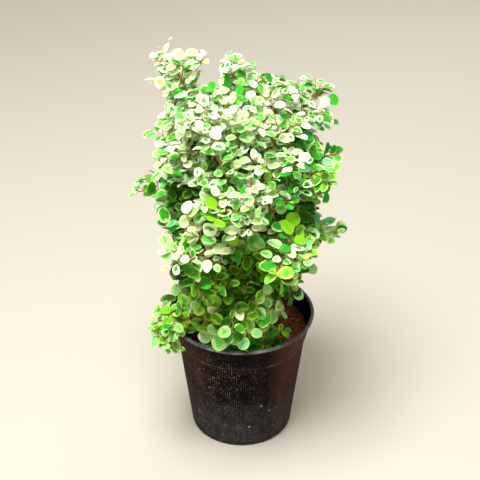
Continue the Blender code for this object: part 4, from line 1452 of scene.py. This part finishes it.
def pot_material():
    """Black-brown moulded plastic, dusty and marked, with a painted warm reflection at its sides."""
    surface = Surface("black_pot_plastic", (0.006, 0.004, 0.003), 0.6)
    surface.set("Specular IOR Level", 0.03)
    clouds = surface.noise(24.0, 5.0)
    smudges = surface.noise(85.0, 5.0, 0.7, surface.stretched((1.0, 1.0, 0.6)))
    fine = surface.noise(240.0, 4.0)
    colour = surface.mix(surface.span(clouds, 0.36, 0.64), PLASTIC_DARK, PLASTIC_LIGHT)
    colour = add_pot_dust_and_reflection(surface, colour, clouds, smudges)
    colour, specks = add_pot_marks(surface, colour)
    surface.set("Base Color", add_step_dust(surface, colour, fine))
    grain = surface.plus(surface.times(fine, 0.5), surface.times(smudges, 0.5))
    surface.bump(surface.plus(grain, surface.times(specks, 0.8)), 0.35, 0.0005)
    return surface.material


def lip_material():
    """The same plastic rubbed to a blue-grey at the lip, with scratches round it, and a painted shade towards
    the right.
    """
    surface = Surface("worn_lip_plastic", (0.10, 0.12, 0.13), 0.5)
    surface.set("Specular IOR Level", 0.2)
    patches = surface.noise(60.0, 5.0)
    scratches = surface.noise(420.0, 3.0)
    colour = surface.mix(surface.span(patches, 0.36, 0.64), (0.030, 0.036, 0.041), (0.17, 0.20, 0.22))
    colour = surface.mix(surface.span(scratches, 0.55, 0.75, 0.0, 0.4), colour, (0.30, 0.31, 0.31))
    # Painted shade: the lip darkens towards the right, the side away from the light.
    right = surface.span(surface.part("X"), 0.030, 0.080, 0.0, 0.6)
    colour = surface.mix(right, colour, (0.030, 0.026, 0.026))
    surface.set("Base Color", colour)
    surface.set("Roughness", surface.span(scratches, 0.3, 0.7, 0.40, 0.66))
    surface.bump(scratches, 0.3, 0.0004)
    return surface.material


def weld(obj):
    """Joins vertices that lie in one place, as at the two ends of a turned profile."""
    modifier = obj.modifiers.new("weld", "WELD")
    modifier.merge_threshold = WELD_REACH


def add_pot():
    """The pot, turned in fine steps, with its drain slots cut through the foot of the wall."""
    profile = pot_profile()
    vertices, faces = turned(profile, POT_SEGMENTS)
    heights = vertices[faces][:, :, 2].mean(axis=1)
    reach = np.hypot(*vertices[faces][:, :, :2].mean(axis=1).T)
    on_lip = (heights > POT_HEIGHT - LIP_HEIGHT) & (reach > RIM_RADIUS - LIP_WIDTH - EDGE_EASE)
    mesh = Mesh()
    mesh.add(vertices, faces, on_lip.astype(int))
    pot = mesh.build("nursery_pot", [pot_material(), lip_material()], ["pot"])
    weld(pot)
    cutters = [slot_cutter(k) for k in range(SLOT_COUNT)]
    for cutter in cutters:
        cut = pot.modifiers.new("slot", "BOOLEAN")
        cut.operation = "DIFFERENCE"
        cut.object = cutter
        cut.material_mode = "INDEX"
    graph = bpy.context.evaluated_depsgraph_get()
    cut_mesh = bpy.data.meshes.new_from_object(pot.evaluated_get(graph))
    pot.modifiers.clear()
    pot.data = cut_mesh
    pot.data.name = pot.name
    pot.data.shade_smooth()
    pot.data.set_sharp_from_angle(angle=math.radians(SHARP_ANGLE))
    for cutter in cutters:
        bpy.data.objects.remove(cutter, do_unlink=True)


# Soil

SOIL_TOP_RINGS = 56
SOIL_SEGMENTS = 168
CLOD_SIZE = 0.011
CLOD_HEIGHT = 0.0030
GRIT_SIZE = 0.0035
GRIT_HEIGHT = 0.0009
CRUMBS = 900
CRUMB_SIZES = (0.0006, 0.0026)
# Above 1, most crumbs are small
CRUMB_SIZE_POWER = 2.5
CRUMB_RISE = 0.35
CRUMB_LUMP = 0.35
CRUMB_LUMP_SCALE = 1.4
CRUMB_WIDTHS = (0.8, 1.2)
CRUMB_HEIGHTS = (0.6, 0.9)
# Near-black crumbs in the drain slots: painted shade
SLOT_CRUMBS = 40
SLOT_CRUMB_SIZES = (0.0008, 0.0014)
SLOT_CRUMB_DEPTHS = (0.0002, 0.0040)
CRUMB_SEED = 5


def soil_edge():
    """Radius and height where the soil's surface meets the pot's wall."""
    step = POT_HEIGHT - COLLAR_DEPTH
    collar_foot = BODY_TOP_RADIUS + COLLAR_STEP
    slope = (RIM_RADIUS - COLLAR_INSET - collar_foot) / (COLLAR_DEPTH - LIP_HEIGHT - COLLAR_STEP)
    edge = SOIL_LEVEL - SOIL_EDGE_DROP
    return collar_foot + slope * (edge - step - COLLAR_STEP) - WALL - GAP, edge


def soil_height(x, y):
    """Height of the crumbly surface: clods and grit on the level bed, lower towards the wall."""
    reach = math.hypot(x, y)
    edge_radius, edge = soil_edge()
    share = np.clip((reach - SOIL_FLAT_RADIUS) / (edge_radius - SOIL_FLAT_RADIUS), 0.0, 1.0)
    level = SOIL_LEVEL + (edge - SOIL_LEVEL) * share
    clods = noise.fractal(Vector((x / CLOD_SIZE, y / CLOD_SIZE, 0.3)), 0.8, 2.1, 3)
    grit = abs(noise.noise(Vector((x / GRIT_SIZE, y / GRIT_SIZE, 4.7))))
    return level + (CLOD_HEIGHT * clods - GRIT_HEIGHT * grit) * (1.0 - 0.5 * share)


def soil_material(name, dark, light, shade_below=0.0):
    """Moist red earth in grains, darker in the hollows, and almost black below a height as painted shade,
    which shows in the drain slots.
    """
    surface = Surface(name, dark, 0.95)
    grains = surface.noise(300.0, 6.0, 0.7)
    patches = surface.noise(40.0, 4.0)
    cells = surface.cells(420.0)
    colour = surface.mix(surface.span(grains, 0.35, 0.68), dark, light)
    colour = surface.mix(surface.span(patches, 0.50, 0.70, 0.0, 0.6), colour, (0.030, 0.012, 0.008))
    # Painted shade: almost black below the given height, where the drain slots show it
    slot_shade = surface.span(surface.part("Z"), shade_below, shade_below + 0.01, 1.0, 0.0)
    colour = surface.mix(slot_shade, colour, (0.0012, 0.0007, 0.0005))
    surface.set("Base Color", colour)
    surface.set("Roughness", surface.span(grains, 0.3, 0.7, 0.85, 1.0))
    surface.bump(surface.plus(grains, surface.times(cells, 0.6)), 0.9, 0.0012)
    return surface.material


def add_soil():
    """The soil bed with a crumbly top, down to the pot's floor."""
    edge_radius, _ = soil_edge()
    step = POT_HEIGHT - COLLAR_DEPTH
    inside = WALL + GAP
    radii = np.linspace(edge_radius, 0.0, SOIL_TOP_RINGS)
    profile = [
        (0.0, FLOOR + GAP),
        (body_radius(FLOOR + GAP) - inside, FLOOR + GAP),
        (BODY_TOP_RADIUS - inside, step),
        (BODY_TOP_RADIUS + COLLAR_STEP - inside, step + COLLAR_STEP),
    ]
    side_count = len(profile)
    profile += [(radius, SOIL_LEVEL) for radius in radii]
    vertices, faces = turned(profile, SOIL_SEGMENTS)
    top = vertices[side_count * SOIL_SEGMENTS :]
    top[:, 2] = [soil_height(x, y) for x, y in top[:, :2]]
    mesh = Mesh()
    mesh.add(vertices, faces)
    earth = soil_material("red_earth", (0.045, 0.008, 0.002), (0.30, 0.060, 0.012), 0.012)
    soil = mesh.build("soil_bed", [earth], ["soil"])
    weld(soil)


def crumb_pattern():
    """Vertices and faces of the round body that each crumb is shaped from."""
    bpy.ops.mesh.primitive_ico_sphere_add(subdivisions=2, radius=1.0)
    pattern = bpy.context.object
    ball = np.array([v.co for v in pattern.data.vertices])
    faces = np.array([tuple(face.vertices) for face in pattern.data.polygons])
    bpy.data.objects.remove(pattern, do_unlink=True)
    return ball, faces


def add_crumb(mesh, pattern, centre, size, kind, rng):
    """One lumpy crumb. kind is its place in the list of materials."""
    ball, faces = pattern
    shift = Vector([rng.uniform(0.0, 50.0) for _ in range(3)])
    lumps = [1.0 + CRUMB_LUMP * noise.noise(Vector(v) * CRUMB_LUMP_SCALE + shift) for v in ball]
    lumps = np.array(lumps)
    squash = np.array([rng.uniform(*part) for part in (CRUMB_WIDTHS, CRUMB_WIDTHS, CRUMB_HEIGHTS)])
    mesh.add(centre + size * ball * lumps[:, None] * squash, faces, kind)


def add_crumbs():
    """Loose crumbs of earth on the soil and near-black ones in the drain slots as painted shade, as one
    joined mesh.
    """
    rng = random.Random(CRUMB_SEED)
    pattern = crumb_pattern()
    edge_radius, _ = soil_edge()
    mesh = Mesh()
    for _ in range(CRUMBS):
        size = CRUMB_SIZES[0] + (CRUMB_SIZES[1] - CRUMB_SIZES[0]) * rng.random() ** CRUMB_SIZE_POWER
        reach = (edge_radius - 1.5 * size) * math.sqrt(rng.random())
        bearing = rng.uniform(0.0, TAU)
        x, y = reach * math.cos(bearing), reach * math.sin(bearing)
        centre = np.array([x, y, soil_height(x, y) + CRUMB_RISE * size])
        add_crumb(mesh, pattern, centre, size, rng.choice((0, 0, 1)), rng)
    for k in range(SLOT_COUNT):
        for _ in range(SLOT_CRUMBS):
            size = rng.uniform(*SLOT_CRUMB_SIZES)
            reach = BASE_RADIUS - WALL - rng.uniform(*SLOT_CRUMB_DEPTHS)
            turn = rng.uniform(-0.5, 0.5) * (SLOT_WIDTH - 2 * size) / BASE_RADIUS
            centre = place(reach, SLOT_BEARING + 360.0 * k / SLOT_COUNT + math.degrees(turn), 0.0)
            centre[2] = rng.uniform(1.2 * size, SLOT_HEIGHT - size)
            add_crumb(mesh, pattern, centre, size, 2, rng)
    materials = [
        soil_material("earth_crumb", (0.10, 0.020, 0.006), (0.44, 0.10, 0.022)),
        soil_material("dry_crumb", (0.26, 0.080, 0.030), (0.76, 0.30, 0.10)),
        # Near-black crumbs, painted shade in the slots
        soil_material("damp_crumb", (0.0010, 0.0006, 0.0005), (0.005, 0.0026, 0.0018)),
    ]
    mesh.build("soil_crumbs", materials)


# Studio

FLOOR_SIZE = 40.0
FLOOR_COLOUR = (0.52, 0.48, 0.435)
FLOOR_ROUGHNESS = 0.8
# Lights: name, place, target, size, power, colour. The bounce stands in for light from warm ground.
LIGHTS = (
    ("key", (-0.34, -0.60, 2.25), (0.0, 0.0, 0.3), 1.2, 82.0, (1.0, 1.0, 0.97)),
    ("bounce", (0.2, -1.5, 0.40), (0.0, 0.0, 0.24), 0.5, 4.6, (1.0, 0.64, 0.36)),
    ("fill", (0.9, 1.5, 1.6), (0.0, 0.0, 0.3), 1.8, 14.0, (1.0, 0.98, 0.92)),
)
SKY_COLOUR = (1.0, 0.97, 0.80, 1.0)
SKY_STRENGTH = 0.50


def add_floor():
    bpy.ops.mesh.primitive_plane_add(size=FLOOR_SIZE)
    floor = bpy.context.object
    floor.name = "studio_floor"
    surface = Surface("pale_floor", FLOOR_COLOUR, FLOOR_ROUGHNESS)
    floor.data.materials.append(surface.material)


def put_and_aim(data, place_at, target):
    """A light or camera in its place, turned to its target."""
    obj = bpy.data.objects.new(data.name, data)
    bpy.context.scene.collection.objects.link(obj)
    obj.location = place_at
    direction = Vector(target) - Vector(place_at)
    obj.rotation_euler = direction.to_track_quat("-Z", "Y").to_euler()
    return obj


def add_studio():
    add_floor()
    for name, place_at, target, size, power, colour in LIGHTS:
        light = bpy.data.lights.new(name, "AREA")
        light.shape = "DISK"
        light.size = size
        light.energy = power
        light.color = colour
        put_and_aim(light, place_at, target)
    world = bpy.data.worlds.new("soft_sky")
    world.use_nodes = True
    background = world.node_tree.nodes["Background"]
    background.inputs["Color"].default_value = SKY_COLOUR
    background.inputs["Strength"].default_value = SKY_STRENGTH
    bpy.context.scene.world = world
    bpy.context.scene.view_settings.view_transform = "Standard"


def add_camera():
    data = bpy.data.cameras.new("photo_camera")
    data.lens = CAMERA_LENS
    data.sensor_width = CAMERA_SENSOR
    bpy.context.scene.camera = put_and_aim(data, CAMERA_PLACE, CAMERA_TARGET)


# The plant


def grow_all(stems, branches):
    """The masses at the boughs' tips, then the twigs inside the crown and the sprigs on the soil, by tier."""
    limbs = stems + [branch.limb for branch in branches if branch.limb]
    stock = Stock()
    tiers = {tier: [] for tier in ("top", "upper", "middle", "skirt", "low", "inner")}
    for k, branch in enumerate(branches):
        in_the_way = limbs + [other.stem for other in branches if other is not branch]
        rng = random.Random(MASS_SEED + k)
        growth = Growth(branch.name, branch.kind, branch.space, in_the_way, stock, rng)
        growth.grow_mass(branch.stem.points)
        tiers[branch.name.split("_")[0]].append(growth)
    for k, limb in enumerate(limbs):
        others = [other for other in limbs if other is not limb] + [branch.stem for branch in branches]
        growth = Growth(f"inner_{k}", "inner", Inside(), others, stock, random.Random(INNER_SEED + k))
        growth.grow_inner(limb)
        tiers["inner"].append(growth)
    for kind in SPRIGS:
        sprigs = Growth(f"{kind}s", kind, Inside(), limbs, stock, random.Random(f"{SPRIG_SEED} {kind}"))
        sprigs.grow_sprigs()
        tiers["low"].append(sprigs)
    return tiers


def add_plant():
    """The stems, boughs, twigs and leaves."""
    stems, branches = lay_out()
    add_limbs(stems, branches, bark_material())
    materials = [leaf_material(name, colour) for name, colour in TINTS.items()]
    young = twig_material()
    for tier, growths in grow_all(stems, branches).items():
        add_leaves(tier, growths, materials)
        add_twigs(tier, growths, young)


add_camera()
add_studio()
add_pot()
add_soil()
add_crumbs()
add_plant()
